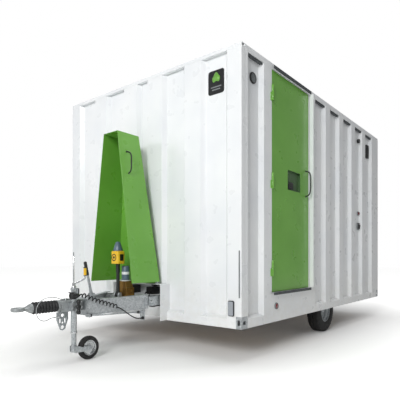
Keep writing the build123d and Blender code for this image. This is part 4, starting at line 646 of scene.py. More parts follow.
# %% Boxes of separate solids, and hinge points
def lumps(node):
    """Lowest and highest corners of each separate solid of a node, front to back and then left to right."""
    mesh = bmesh.new()
    mesh.from_mesh(nodes[node].data)
    bmesh.ops.remove_doubles(mesh, verts=mesh.verts, dist=0.00001)
    found, seen = [], set()
    for start in mesh.verts:
        if start in seen:
            continue
        group, todo = [], [start]
        seen.add(start)
        while todo:
            vertex = todo.pop()
            group.append(vertex.co.copy())
            for edge in vertex.link_edges:
                other = edge.other_vert(vertex)
                if other not in seen:
                    seen.add(other)
                    todo.append(other)
        found.append((Vector([min(p[k] for p in group) for k in range(3)]),
                      Vector([max(p[k] for p in group) for k in range(3)])))
    mesh.free()
    return sorted(found, key=lambda box: (round(box[0].y, 2), round(box[0].x, 2), round(box[0].z, 2)))


hinges = {joint["name"]: Vector(joint["pos_m"]) for joint in frame["record"]["behaviour"]["joints"]
          if joint.get("pos_m")}
for node in ("lamps", "wall_fittings", "name_plates"):
    for low, high in lumps(node):
        print(node, [round(v, 3) for v in low], [round(v, 3) for v in high])

# %% [markdown]
# ## Jockey wheel
# The jockey wheel steadies the parked trailer. It has a solid rubber tyre on a pressed grey rim, in a
# trailing fork of two plates. The fork swivels under a tube that a crank winds up and down.

# %% Jockey wheel
centre, size = middle_of("jockey_wheel")
half, outer = size.x / 2, size.z / 2
mesh = bmesh.new()
side = [(half, outer - 0.031), (half, outer - 0.018), (half - 0.003, outer - 0.009),
        (half - 0.009, outer - 0.003)]
section = side + [(0.0, outer)] + [(-a, out) for a, out in side[::-1]] + [(-half + 0.008, 0.062),
                                                                          (half - 0.008, 0.062)]
turn(mesh, section, centre, (1, 0, 0), 72, closed=True)
piece("jockey_tyre", mesh, tyre_rubber, "jockey_wheel", ("jockey_wheel",))

mesh = bmesh.new()
dish = [(half - 0.002, 0.0072), (half - 0.002, 0.017), (half - 0.005, 0.020), (0.006, 0.023), (0.004, 0.028),
        (0.004, 0.048), (0.008, 0.053), (half - 0.007, 0.056), (half - 0.005, 0.063)]
turn(mesh, dish + [(-a, out) for a, out in dish[::-1]], centre, (1, 0, 0), 72, closed=True)
piece("jockey_rim", mesh, zinc_plate, "jockey_wheel", bevel=0.0006)
print("jockey wheel radius", round(outer, 4), "width", round(size.x, 3))

# %% Jockey fork
low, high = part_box("jockey_fork")
stem = Vector((centre.x, hinges["jockey_swivel"].y, high.z))
reach = centre.y - stem.y
mesh = bmesh.new()
arc = [math.radians(-80 + 20 * k) for k in range(9)]
outline = [(-0.012, 0.034), (-0.016, 0.030), (-0.016, -0.012), (-0.008, -0.018)]
outline += [(reach + 0.019 * math.cos(a), 0.019 * math.sin(a)) for a in arc]
outline += [(0.06, 0.020), (0.02, 0.034)]
for side in (-1, 1):
    plate = Vector((stem.x + side * 0.0305, stem.y, centre.z))
    cut(mesh, outline, plate, *FACING_X, 0.005)
    bolt(mesh, centre + Vector((side * 0.033, 0, 0)), (side, 0, 0), 0.009, washer=False)
    turn(mesh, [(-0.0005, 0.012), (0.002, 0.011), (0.002, 0.0)], centre + Vector((side * 0.033, 0, 0)),
         (side, 0, 0), 32)
turn(mesh, [(-0.033, 0.007), (0.033, 0.007)], centre, (1, 0, 0), 24)
box_between(mesh, (stem.x - 0.0305, stem.y - 0.014, centre.z + 0.006),
            (stem.x + 0.0305, stem.y + 0.010, centre.z + 0.018))
turn(mesh, [(-0.058, 0.0), (-0.058, 0.0215), (-0.004, 0.0215), (-0.001, 0.0235), (0.0, 0.0235), (0.0, 0.0105),
            (-0.020, 0.0105), (-0.020, 0.0)], stem, (0, 0, 1), 40)
piece("jockey_fork_pressing", mesh, galvanised, "jockey_fork", ("jockey_fork",), 0.0008)
print("fork reach", round(reach, 3))

# %% [markdown]
# The crank winds a screw inside the tube. It is a bent bar with a loose black grip, and a thin rod stands
# up from its boss. A star-shaped handle locks the clamp that holds the tube.

# %% Crank and clamp handle
axis = hinges["jockey_winding"]
low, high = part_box("jockey_crank")
knob_y = high.y - 0.013
grip = (low.z + 0.398, low.z + 0.468)
mesh = bmesh.new()
turn(mesh, [(0.0, 0.0), (0.0, 0.0078), (0.2985, 0.0078), (0.2995, 0.0185), (0.306, 0.019), (0.315, 0.017),
            (0.320, 0.013),
            (0.340, 0.0125), (0.342, 0.011), (0.342, 0.004), (high.z - low.z - 0.004, 0.004),
            (high.z - low.z, 0.002), (high.z - low.z, 0.0)], (axis.x, axis.y, low.z), (0, 0, 1), 40)
turn(mesh, [(-0.012, 0.0), (-0.012, 0.0058), (0.010, 0.0058), (0.012, 0.0)],
     (axis.x + 0.010, knob_y, grip[0] - 0.010), (0, 0, 1), 24)
piece("jockey_crank_boss", mesh, zinc_plate, "jockey_crank", ("jockey_crank",), 0.0006)
arm = bar([(axis.x, axis.y - 0.010, low.z + 0.334), (axis.x, axis.y + 0.006, low.z + 0.335),
           (axis.x + 0.006, knob_y - 0.050, low.z + 0.352), (axis.x + 0.010, knob_y - 0.006, low.z + 0.370),
           (axis.x + 0.010, knob_y, low.z + 0.378), (axis.x + 0.010, knob_y, low.z + 0.398)], 0.0068)
piece("jockey_crank_arm", arm, zinc_plate, "jockey_crank")
mesh = bmesh.new()
ribs = [(0.070 * k / 14, 0.0125 if k % 2 else 0.0112) for k in range(1, 14)]
turn(mesh, [(0.0, 0.0), (0.0, 0.011)] + ribs + [(0.069, 0.011), (0.070, 0.006), (0.070, 0.0)],
     (axis.x + 0.010, knob_y, grip[0]), (0, 0, 1), 32)
piece("jockey_crank_grip", mesh, yellow_abs, "jockey_crank")
mesh = bmesh.new()
for start, tall in ((grip[0] - 0.002, 0.006), (grip[1] - 0.010, 0.011)):
    turn(mesh, [(0.0, 0.0), (0.0, 0.0128), (tall - 0.003, 0.0130), (tall, 0.010), (tall, 0.0)],
         (axis.x + 0.010, knob_y, start), (0, 0, 1), 32)
piece("jockey_crank_caps", mesh, black_abs, "jockey_crank")

axis = hinges["clamp_turn"]
low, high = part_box("clamp_handle")
mesh = bmesh.new()
turn(mesh, [(low.x - high.x, 0.0), (low.x - high.x, 0.0068), (-0.030, 0.0068), (-0.028, 0.0)],
     (high.x, axis.y, axis.z), (1, 0, 0), 24)
turn(mesh, [(-0.028, 0.0), (-0.028, 0.016), (-0.022, 0.020), (-0.004, 0.019), (0.0, 0.014), (0.0, 0.0)],
     (high.x, axis.y, axis.z), (1, 0, 0), 40)
wing = (high.z - low.z) / 2 - 0.0005
lobe = [(0.0, 0.0115), (wing - 0.044, 0.0105), (wing - 0.034, 0.015), (wing - 0.020, 0.0175),
        (wing - 0.006, 0.014),
        (wing - 0.001, 0.007), (wing, 0.0)]
turn(mesh, [(-a, out) for a, out in lobe[:0:-1]] + lobe, (high.x - 0.014, axis.y, axis.z), (0, 0, 1), 40)
piece("clamp_wing_handle", mesh, black_abs, "clamp_handle", ("clamp_handle",), 0.0)
print("crank grip from", [round(v, 3) for v in grip], "clamp wing", round(wing, 3))

# %% [markdown]
# ## Coupling
# The towing shaft slides in a cast housing when the trailer overruns the tow vehicle. A rubber bellows
# keeps grit off it and shortens as the shaft slides in. The eye is forged: its collar and ring flow into
# each other, which a voxel remesh does to a few plain shapes.

# %% Bellows
low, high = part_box("gaiter")
axis_x, axis_z = (low.x + high.x) / 2, (low.z + high.z) / 2
length = high.y - low.y
FOLDS = 8
FOLD_STEPS = 10
outer = []
for k in range(FOLDS * FOLD_STEPS + 1):
    share = k / (FOLDS * FOLD_STEPS)
    crest = 0.5 - 0.5 * math.cos(math.tau * FOLDS * share)
    outer.append((length * share, 0.0360 + 0.0118 * crest ** 0.7))
mesh = bmesh.new()
inner = [(along, out - 0.003) for along, out in outer[::-1]]
turn(mesh, outer + inner, (axis_x, low.y, axis_z), (0, 1, 0), 64, closed=True)
bellows = piece("shaft_bellows", mesh, rubber, "drawbar", ("gaiter",))
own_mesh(bellows)

# %% Towing eye
low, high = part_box("towing_eye")
ring = Vector((0.0, low.y + 0.049, axis_z))
collar = -2.318
mesh = bmesh.new()
section = [(-0.015, 0.022), (-0.011, 0.020), (0.011, 0.020), (0.015, 0.022), (0.015, 0.042), (0.009, 0.048),
           (-0.009, 0.048), (-0.015, 0.042)]
turn(mesh, section, ring, (0, 0, 1), 64, closed=True)
stations = [(collar - 0.060, 0.031, 0.0150), (collar - 0.045, 0.032, 0.0180), (collar - 0.025, 0.035, 0.030),
            (collar - 0.008, 0.038, 0.038), (collar, 0.038, 0.038), (collar + 0.001, 0.024, 0.024),
            (high.y, 0.0238, 0.0238)]
loops = []
for y, wide, tall in [(ring.y + 0.036, 0.031, 0.0150)] + stations:
    loops.append([mesh.verts.new((wide * math.cos(math.tau * k / 48), y,
                                  axis_z + tall * math.sin(math.tau * k / 48)))
                  for k in range(48)])
for one, two in zip(loops, loops[1:]):
    for k in range(48):
        mesh.faces.new((one[k], one[(k + 1) % 48], two[(k + 1) % 48], two[k]))
mesh.faces.new(loops[0])
mesh.faces.new(loops[-1][::-1])
eye = piece("forged_eye", mesh, cast_grey, "overrun", ("towing_eye",))
fuse = eye.modifiers.new("forging", "REMESH")
fuse.mode = "VOXEL"
fuse.voxel_size = 0.0022
fuse.use_smooth_shade = True
flow = eye.modifiers.new("flow", "SMOOTH")
flow.factor = 0.5
flow.iterations = 4
print("eye centre", [round(v, 3) for v in ring], "tip", round(low.y, 3))

# %% Housing fittings
low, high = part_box("coupling_housing")
mesh = bmesh.new()
for side in (-1, 1):
    for y in (high.y - 0.022, high.y - 0.060):
        bolt(mesh, (side * 0.045, y, low.z + 0.030), (side, 0, 0), 0.009)
        bolt(mesh, (side * 0.045, y, high.z - 0.022), (side, 0, 0), 0.008)
for x, y in ((-0.065, high.y + 0.020), (0.065, high.y + 0.020), (-0.065, high.y + 0.085),
             (0.065, high.y + 0.085)):
    bolt(mesh, (x, y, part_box("drawbar_frame")[1].z - 0.0005), (0, 0, 1), 0.009)
bolt(mesh, (-0.018, high.y - 0.120, high.z - 0.001), (0, 0, 1), 0.007)
bolt(mesh, (-0.018, high.y - 0.160, high.z - 0.001), (0, 0, 1), 0.007)
piece("housing_bolts", mesh, zinc_plate, "drawbar", bevel=0.0004)
mesh = bmesh.new()
cut(mesh, rounded(0.056, 0.070, 0.008), (-0.006, high.y - 0.140, high.z + 0.002), *FACING_Z, 0.006)
for side in (-1, 1):
    cut(mesh, rounded(0.120, 0.010, 0.004), (side * 0.0465, high.y - 0.110, low.z + 0.046), *FACING_X, 0.004)
turn(mesh, [(-0.004, 0.0385), (0.0, 0.0425), (0.006, 0.0425), (0.010, 0.040)], (0, low.y + 0.012, axis_z),
     (0, 1, 0), 64)
piece("housing_cover", mesh, cast_grey, "drawbar", bevel=0.001)
print("housing from", round(low.y, 3), "to", round(high.y, 3))

# %% [markdown]
# ## Parking brake
# The brake lever is a steel blade with a moulded grip. A gas spring and a toothed quadrant hold it. Its
# rod runs back along the near arm and ends in small black balls.

# %% Brake lever
foot = hinges["brake_pull"]
low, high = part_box("brake_lever")
tip = Vector((foot.x, low.y + 0.0137, high.z - 0.0032))
run = tip - foot
along = run.normalized()
across = Vector((0, along.z, -along.y))
mesh = bmesh.new()
blade = [(0.014 * math.cos(a), 0.014 * math.sin(a)) for a in [math.radians(180 + 20 * k) for k in range(10)]]
blade += [(0.0095, run.length * 0.64), (-0.0095, run.length * 0.64)]
cut(mesh, blade, foot, across, along, 0.008)
turn(mesh, [(-0.006, 0.0082), (-0.006, 0.0145), (0.006, 0.0145), (0.006, 0.0082)], foot, (1, 0, 0), 32,
     closed=True)
cut(mesh, rounded(0.012, run.length * 0.40, 0.005), foot + along * run.length * 0.34, across, along, 0.0115)
piece("brake_blade", mesh, galvanised, "brake_lever", ("brake_lever",), 0.0008)
mesh = bmesh.new()
start = run.length * 0.60
hand = run.length - start
shape = [(0.0, 0.0), (0.0, 0.0125), (0.006, 0.0138), (0.020, 0.0128)]
shape += [(0.026 + 0.011 * k, 0.0138 if k % 2 else 0.0122) for k in range(6)]
shape += [(hand - 0.012, 0.0138), (hand - 0.003, 0.0118), (hand, 0.006), (hand, 0.0)]
turn(mesh, shape, foot + along * start, along, 40)
piece("brake_grip", mesh, black_abs, "brake_lever")
mesh = bmesh.new()
rod_low, rod_high = [box for box in lumps("brake_mount") if box[1].y - box[0].y > 0.1][0]
for place in (Vector((rod_low.x + 0.007, rod_low.y + 0.012, rod_low.z + 0.007)),
              Vector((rod_high.x - 0.009, rod_high.y - 0.030, rod_high.z - 0.007))):
    bmesh.ops.create_uvsphere(mesh, u_segments=24, v_segments=16, radius=0.0125,
                              matrix=Matrix.Translation(place))
piece("brake_rod_balls", mesh, black_abs, "drawbar")
print("lever", round(run.length, 3), "m, grip", round(hand, 3), "m")

# %% [markdown]
# ## Lead ends
# The lead starts in a gland under the near arm and ends in a round seven-pin plug. The plug is parked in a
# black socket beside the jockey tube, so that it stays dry.

# %% Gland, plug and parking socket
low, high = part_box("lead_gland")
gland = Vector((LEAD_TAIL[0][0], high.y, LEAD_TAIL[0][2]))
run = high.y - low.y
mesh = bmesh.new()
turn(mesh, [(0.0, 0.0), (0.0, 0.0135), (0.010, 0.0138), (0.011, 0.0112), (0.016, 0.0108), (run, 0.0065),
            (run, 0.0)],
     gland, (0, -1, 0), 40)
turn(mesh, [(0.001, 0.0), (0.001, 0.014), (0.008, 0.014), (0.008, 0.0)], gland, (0, -1, 0), 6)
gland_piece = piece("lead_gland_nut", mesh, black_abs, "drawbar", ("lead_gland",), 0.0004)

low, high = plug_low, plug_high
run = high.y - low.y
mesh = bmesh.new()
shape = [(0.0, 0.0), (0.0, 0.0075), (0.004, 0.0090)]
shape += [(0.006 + 0.004 * k, 0.0105 + 0.0018 * k + (0.0012 if k % 2 else 0.0)) for k in range(5)]
shape += [(0.030, 0.0200), (0.034, 0.0209), (0.050, 0.0209), (0.052, 0.0190), (run - 0.001, 0.0185),
          (run, 0.0175),
          (run, 0.0)]
turn(mesh, shape, PLUG_BACK, (0, -1, 0), 48)
for k in range(12):
    a = math.tau * k / 12
    rib = Vector(PLUG_BACK) + Vector((0.0198 * math.cos(a), -0.041, 0.0198 * math.sin(a)))
    cut(mesh, rounded(0.004, 0.012, 0.0012), rib, (math.sin(a), 0, -math.cos(a)), (0, 1, 0), 0.0022)
plug = piece("seven_pin_plug", mesh, black_abs, "drawbar", ("lead_plug",), 0.0004)
mesh = bmesh.new()
cup = Vector((PLUG_BACK[0], low.y - 0.0125, PLUG_BACK[2]))
turn(mesh, [(-0.001, 0.0), (-0.001, 0.020), (-0.003, 0.024), (0.001, 0.0270), (0.030, 0.0272),
            (0.034, 0.0285),
            (0.036, 0.0285), (0.036, 0.0252), (0.002, 0.0252), (0.002, 0.0)], cup, (0, 1, 0), 48)
turn(mesh, [(-0.001, 0.0), (-0.001, 0.0045), (0.0, 0.005), (0.058, 0.005), (0.059, 0.0)],
     cup + Vector((-0.028, 0.0, 0.026)), (1, 0, 0), 20)
piece("parking_socket", mesh, black_abs, "drawbar", bevel=0.0005)
print("plug", round(run, 3), "m long, parked at", [round(v, 3) for v in PLUG_BACK])

# %% Cable ends
low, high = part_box("breakaway_hook")
post, clip = sorted(lumps("breakaway_hook"), key=lambda box: -box[1].z)
mesh = bmesh.new()
middle = (post[0] + post[1]) / 2
turn(mesh, [(0.0, 0.0), (0.0, 0.0088), (0.003, 0.0088), (0.004, 0.0050), (0.012, 0.0050), (0.0135, 0.0088),
            (0.016, 0.0086), (post[1].z - post[0].z, 0.006), (post[1].z - post[0].z, 0.0)],
     (middle.x, middle.y, post[0].z), (0, 0, 1), 32)
start = Vector(CABLE_ROUTE[0])
turn(mesh, [(-0.004, 0.0), (-0.004, 0.0042), (0.014, 0.0042), (0.015, 0.0032), (0.015, 0.0)], start,
     (0, -1, 0), 20)
middle = (clip[0] + clip[1]) / 2
cut(mesh, rounded(clip[1].y - clip[0].y, clip[1].z - clip[0].z, 0.003), middle, *FACING_X,
    clip[1].x - clip[0].x)
turn(mesh, [(-0.012, 0.0), (-0.012, 0.0042), (0.004, 0.0042), (0.004, 0.0)], CABLE_ROUTE[-1], (0, 1, 0), 20)
hook = piece("cable_post_and_clip", mesh, zinc_plate, "drawbar", ("breakaway_hook",), 0.0006)
ring = bar([(0.024 + 0.0105 * math.cos(math.tau * k / 12), -2.040 + 0.0105 * math.sin(math.tau * k / 12),
             0.510)
            for k in range(12)], 0.0016, closed=True)
loop = piece("cable_eye", ring, zinc_plate, "drawbar")
print("cable post at", [round(v, 3) for v in post[0]], "clip at", [round(v, 3) for v in clip[0]])

# %% [markdown]
# ## Hand pump
# Oil from a hand pump lowers and raises the body. Its lever is a black tube with a yellow head, which has
# a black ring on its front face and a blue-grey cone on top. Behind it stand the pump block and the oil
# reservoir, a blue cylinder with a white band.

# %% Pump lever
foot = hinges["pump_stroke"]
low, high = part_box("pump_lever")
head_base, head_top = low.z + 0.022 + 0.280, low.z + 0.022 + 0.399
mesh = bmesh.new()
turn(mesh, [(-0.022, 0.0092), (-0.022, 0.0215), (0.022, 0.0215), (0.022, 0.0092)], foot, (1, 0, 0), 40,
     closed=True)
turn(mesh, [(0.012, 0.0), (0.012, 0.0185), (0.030, 0.0185), (0.034, 0.0160), (0.200, 0.0160), (0.204, 0.0185),
            (head_base - foot.z, 0.0185), (head_base - foot.z + 0.002, 0.0)], foot, (0, 0, 1), 40)
piece("pump_lever_tube", mesh, powder_coat, "pump_lever", ("pump_lever",), 0.0006)
mesh = bmesh.new()
head = Vector((foot.x, foot.y, (head_base + head_top) / 2))
tall = head_top - head_base
cut(mesh, rounded(0.103, 0.095, 0.026), head, *FACING_Z, tall - 0.001)
face = piece("pump_lever_head", mesh, yellow_abs, "pump_lever", bevel=0.008)
face.modifiers["rounded_edges"].segments = 4
mesh = bmesh.new()
front = Vector((foot.x, foot.y - 0.0475, head.z))
turn(mesh, [(0.0, 0.0), (0.0, 0.012), (0.0015, 0.012), (0.0015, 0.0)], front, (0, -1, 0), 32)
turn(mesh, [(0.0, 0.024), (0.0015, 0.025), (0.0015, 0.032), (0.0, 0.033)], front, (0, -1, 0), 48, closed=True)
for side in (-1, 1):
    cut(mesh, rounded(0.042, 0.060, 0.006), head + Vector((side * 0.0515, 0, 0)), *FACING_X, 0.002)
piece("pump_lever_marks", mesh, black_abs, "pump_lever", bevel=0.0004)
mesh = bmesh.new()
turn(mesh, [(0.0, 0.0), (0.0, 0.044), (0.010, 0.0435), (0.050, 0.031), (high.z - head_top - 0.006, 0.0205),
            (high.z - head_top - 0.001, 0.015), (high.z - head_top, 0.0)], (foot.x, foot.y, head_top),
            (0, 0, 1), 48)
piece("pump_lever_cone", mesh, pump_enamel, "pump_lever", bevel=0.001)
print("pump lever head from", round(head_base, 3), "to", round(head_top, 3))

# %% Pump unit
low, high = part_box("pump_unit")
rear = foot.y
mesh = bmesh.new()
plate_z = low.z
cut(mesh, rounded(0.120, high.y - low.y, 0.006), (0.0, (low.y + high.y) / 2, plate_z + 0.005), *FACING_Z,
    0.010)
for side in (-1, 1):
    cheek = [(-0.024, 0.0), (-0.024, 0.030), (-0.014, 0.050), (0.014, 0.050), (0.024, 0.030), (0.024, 0.0)]
    cut(mesh, cheek, (side * 0.0273, foot.y, plate_z + 0.010), *FACING_X, 0.009)
    bolt(mesh, (side * 0.032, foot.y, foot.z), (side, 0, 0), 0.010)
turn(mesh, [(-0.034, 0.0), (-0.034, 0.0088), (0.034, 0.0088), (0.034, 0.0)], foot, (1, 0, 0), 32)
for x in (-0.048, 0.048):
    bolt(mesh, (x, low.y + 0.016, plate_z + 0.010), (0, 0, 1), 0.008)
piece("pump_base", mesh, galvanised, "cabin", ("pump_unit",), 0.0008)
mesh = bmesh.new()
block_z = plate_z + 0.010
box_between(mesh, (-0.055, rear + 0.040, block_z), (0.075, rear + 0.130, block_z + 0.094))
box_between(mesh, (-0.050, rear + 0.042, block_z + 0.094), (0.060, rear + 0.124, block_z + 0.152))
for x in (-0.040, 0.058):
    bolt(mesh, (x, rear + 0.040, block_z + 0.020), (0, -1, 0), 0.008)
    bolt(mesh, (x, rear + 0.040, block_z + 0.074), (0, -1, 0), 0.008)
for z in (0.030, 0.065):
    turn(mesh, [(0.0, 0.0), (0.0, 0.012), (0.010, 0.012), (0.012, 0.009), (0.024, 0.009), (0.024, 0.0)],
         (0.075, rear + 0.085, block_z + z), (1, 0, 0), 6)
piece("pump_block", mesh, brass, "cabin", bevel=0.003)
mesh = bmesh.new()
tank = Vector((0.005, rear + 0.085, block_z + 0.152))
turn(mesh, [(0.0, 0.0), (0.0, 0.0455), (0.007, 0.046), (0.008, 0.040), (0.008, 0.0)], tank, (0, 0, 1), 64)
turn(mesh, [(0.060, 0.0362), (0.061, 0.0366), (0.084, 0.0366), (0.085, 0.0362)], tank, (0, 0, 1), 64)
white_ring = piece("reservoir_band", mesh, white_enamel, "cabin", bevel=0.0005)
mesh = bmesh.new()
turn(mesh, [(0.008, 0.0), (0.008, 0.035), (0.012, 0.0358), (0.132, 0.0358), (0.138, 0.033), (0.1415, 0.026),
            (0.1418, 0.0)],
     tank, (0, 0, 1), 64)
piece("oil_reservoir", mesh, pump_enamel, "cabin")
mesh = bmesh.new()
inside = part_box("hinge_housing")[1]
for x, wide, z, tall, y, deep in ((0.145, 0.080, 0.500, 0.070, -1.170, 0.110),
                                  (-0.145, 0.080, 0.495, 0.080, -1.160, 0.120),
                                  (0.150, 0.050, 0.575, 0.018, -1.150, 0.060)):
    cut(mesh, rounded(wide, tall, 0.006), (x, y, z + tall / 2), *FACING_Y, deep)
for k in range(5):
    cut(mesh, rounded(0.086, 0.006, 0.002), (0.145, -1.226, 0.508 + 0.013 * k), *FACING_Y, 0.004)
piece("valve_boxes", mesh, powder_coat, "cabin", bevel=0.002)
for k, (x, reach) in enumerate(((0.118, 0.05), (0.172, 0.07))):
    pipe = bar([(x, -1.232, 0.520), (x, -1.250, 0.520), (x, -1.258, 0.505 - reach / 2),
                (x - 0.01, -1.250, 0.47 - reach),
                (x - 0.03, -1.20, 0.45 - reach), (x - 0.04, -1.10, 0.45 - reach),
                (x - 0.04, -1.07, 0.45 - reach)], 0.006)
    piece(f"oil_pipe_{k}", pipe, powder_coat, "cabin")
print("pump block from", round(block_z, 3), "reservoir top", round(tank.z + 0.142, 3), "housing",
      [round(v, 3) for v in inside])

# %% [markdown]
# ## Lamps
# White marker lamps face forward beside the corner blocks, round red reflectors sit low on the sides, and
# rectangular tail lamps have red, amber and clear fields. Each has a black or pale body and a lens.

# %% Marker lamps, reflectors and tail lamps
bodies, lenses = bmesh.new(), {clear_lens: bmesh.new(), red_lens: bmesh.new(), amber_lens: bmesh.new()}
rings = bmesh.new()
for low, high in lumps("lamps"):
    middle, size = (low + high) / 2, high - low
    facing_side = size.x < 0.02
    ahead = -1 if middle.y < 0 else 1
    if facing_side:
        out = 1 if middle.x > 0 else -1
        base = Vector((middle.x - out * size.x / 2, middle.y, middle.z))
        radius = size.z / 2
        turn(rings, [(0.0, 0.0), (0.0, radius), (0.008, radius), (0.011, radius - 0.004),
                     (0.007, radius - 0.006),
                     (0.007, 0.0)], base, (out, 0, 0), 64)
        turn(lenses[red_lens],
             [(0.004, 0.0), (0.004, radius - 0.006), (0.008, radius - 0.0065), (0.0105, radius - 0.012),
                                (0.0112, 0.0)], base, (out, 0, 0), 64)
    elif ahead < 0:
        back_face = Vector((middle.x, high.y, middle.z))
        cut(bodies, rounded(size.x - 0.001, size.z - 0.001, 0.014), back_face + Vector((0, -0.005, 0)),
            *FACING_Y, 0.010)
        cut(lenses[clear_lens], rounded(size.x - 0.012, size.z - 0.012, 0.010),
            back_face + Vector((0, -0.0115, 0)),
            *FACING_Y, 0.0125)
    else:
        front_face = Vector((middle.x, low.y, middle.z))
        cut(bodies, rounded(size.x - 0.001, size.z - 0.001, 0.008), front_face + Vector((0, 0.009, 0)),
            *FACING_Y, 0.018)
        third = (size.x - 0.012) / 3
        for k, lens in enumerate((amber_lens, red_lens, clear_lens)):
            out = 1 if middle.x > 0 else -1
            spot = front_face + Vector((out * (1 - k) * third, 0.0235, 0))
            cut(lenses[lens], rounded(third - 0.002, size.z - 0.012, 0.006), spot, *FACING_Y, 0.0195)
piece("lamp_bodies", bodies, black_abs, "cabin", ("lamps",), 0.002)
piece("reflector_rings", rings, grey_abs, "cabin", bevel=0.0006)
for lens, mesh in lenses.items():
    made = piece(lens.name + "es", mesh, lens, "cabin", bevel=0.003)
    print(made.name, "faces", len(made.data.polygons))

# %% [markdown]
# ## Wall fittings
# The fittings stand on the floors of the corrugations: a round vent with a mesh, a flue cowl, a louvred
# vent, a red stop button in its box and a covered mains inlet.

# %% Vent, flue, louvre, button and inlet
dark, grey, warm = bmesh.new(), bmesh.new(), bmesh.new()
cups = {}
for low, high in lumps("wall_fittings"):
    middle, size = (low + high) / 2, high - low
    wall = Vector((low.x, middle.y, middle.z))
    if size.z > 0.15:
        cut(dark, rounded(size.y, size.z, 0.006), wall + Vector((0.004, 0, 0)), *FACING_X, 0.008)
        for k in range(6):
            tilt = wall + Vector((0.013, 0, (k - 2.5) * 0.026))
            cut(dark, rounded(size.y - 0.016, 0.020, 0.002), tilt, (0, 1, 0), (0.45, 0, 1), 0.003)
        for edge in (-1, 1):
            cut(dark, rounded(0.010, size.z, 0.003),
                wall + Vector((size.x / 2, edge * (size.y / 2 - 0.005), 0)), *FACING_X, size.x - 0.001)
            cut(dark, rounded(size.y, 0.010, 0.003),
                wall + Vector((size.x / 2, 0, edge * (size.z / 2 - 0.005))), *FACING_X, size.x - 0.001)
    elif abs(size.y - size.z) < 0.002 and size.y > 0.09:
        turn(dark, [(0.0, 0.0), (0.0, 0.0478), (0.010, 0.0478), (0.0135, 0.044), (0.0135, 0.040),
                    (0.006, 0.038), (0.006, 0.0)],
             wall, (1, 0, 0), 64)
        for k in range(-3, 4):
            reach = math.sqrt(0.038 ** 2 - (0.0105 * k) ** 2)
            cut(grey, rounded(2 * reach, 0.0035, 0.001), wall + Vector((0.009, 0, 0.0105 * k)), *FACING_X,
                0.003)
            cut(grey, rounded(0.0035, 2 * reach, 0.001), wall + Vector((0.009, 0.0105 * k, 0)), *FACING_X,
                0.003)
    elif abs(size.y - size.z) < 0.002 and size.x > 0.028:
        turn(dark, [(0.0, 0.0), (0.0, 0.0268), (0.022, 0.0268), (0.0295, 0.0255), (0.0295, 0.0235),
                    (0.008, 0.0225), (0.008, 0.0)],
             wall, (1, 0, 0), 48)
        turn(grey, [(0.008, 0.0), (0.008, 0.012), (0.024, 0.012), (0.026, 0.009), (0.026, 0.0)], wall,
             (1, 0, 0), 32)
    elif abs(size.y - size.z) < 0.002:
        cut(grey, rounded(size.y - 0.001, size.z - 0.001, 0.006), wall + Vector((0.006, 0, 0)), *FACING_X,
            0.012)
        turn(warm, [(0.011, 0.0), (0.011, 0.012), (0.014, 0.012), (0.015, 0.0175), (0.020, 0.019),
                    (0.0235, 0.016), (0.024, 0.0)],
             wall, (1, 0, 0), 40)
    else:
        cut(grey, rounded(size.y - 0.001, size.z - 0.001, 0.008), wall + Vector((0.008, 0, 0)), *FACING_X,
            0.016)
        cut(dark, rounded(size.y - 0.010, size.z - 0.024, 0.010), wall + Vector((0.022, 0, -0.004)),
            (0.10, 0, 1), (0, 1, 0), 0.012)
        turn(dark, [(-0.028, 0.0), (-0.028, 0.005), (0.028, 0.005), (0.028, 0.0)],
             wall + Vector((0.020, 0, 0.037)), (0, 1, 0), 20)
piece("fittings_dark", dark, black_abs, "cabin", ("wall_fittings",), 0.001)
piece("fittings_grey", grey, grey_abs, "cabin", bevel=0.0008)
piece("stop_button", warm, red_lens, "cabin", bevel=0.0006)
print("fittings on the wall's floors at", round(low.x, 3))

# %% [markdown]
# ## Plates and labels
# A dark rounded plate on the front wall carries a plain green device and pale bars, and no words. Lower
# down are a small pale label with an orange mark, and a grey reflective strip beside the corner.

# %% Plates
PLATE = 0.0024  # thickness of a plate
PRINT = (0.0026, 0.0006)  # middle of the printed layer in front of the wall, and its thickness
LEAF = (0.040, 0.050)  # half width and half height of the green device
plates = lumps("name_plates")
dark, pale, green, orange = bmesh.new(), bmesh.new(), bmesh.new(), bmesh.new()
for low, high in plates:
    middle, size = (low + high) / 2, high - low
    face = Vector((middle.x, high.y, middle.z))
    plate, print_at = face - Vector((0, PLATE / 2, 0)), face - Vector((0, PRINT[0], 0))
    if size.z > 0.15 and size.x > 0.1:
        cut(dark, rounded(size.x - 0.0005, size.z - 0.0005, 0.022), plate, *FACING_Y, PLATE)
        turns = [math.tau * k / 36 for k in range(36)]
        leaf = [(LEAF[0] * math.sin(a), LEAF[1] * math.cos(a) * (0.75 + 0.25 * math.cos(3 * a)))
                for a in turns]
        cut(green, leaf, print_at + Vector((0, 0, 0.034)), *FACING_Y, 0.0007)
        for k, wide in enumerate((0.110, 0.086)):
            bar_at = print_at + Vector((0, 0, -0.040 - 0.022 * k))
            cut(pale, rounded(wide, 0.010, 0.003), bar_at, *FACING_Y, PRINT[1])
    elif size.z > 2.5 * size.x:
        strip = rounded(size.x, size.z, min(size.x, 0.01) / 3)
        cut(pale, strip, face - Vector((0, size.y / 2, 0)), *FACING_Y, size.y)
    else:
        cut(pale, rounded(size.x, size.z, 0.004), plate, *FACING_Y, PLATE)
        for mesh, wide, tall, corner, along in ((orange, 0.25, 0.6, 0.003, 0.25),
                                                (dark, 0.42, 0.22, 0.002, -0.18)):
            mark = rounded(size.x * wide, size.z * tall, corner)
            cut(mesh, mark, print_at + Vector((size.x * along, 0, 0)), *FACING_Y, PRINT[1])
piece("plates_dark", dark, black_abs, "cabin", ("name_plates",), 0.0003)
piece("plates_pale", pale, grey_abs, "cabin", bevel=0.0002)
piece("plates_green", green, green_enamel, "cabin")
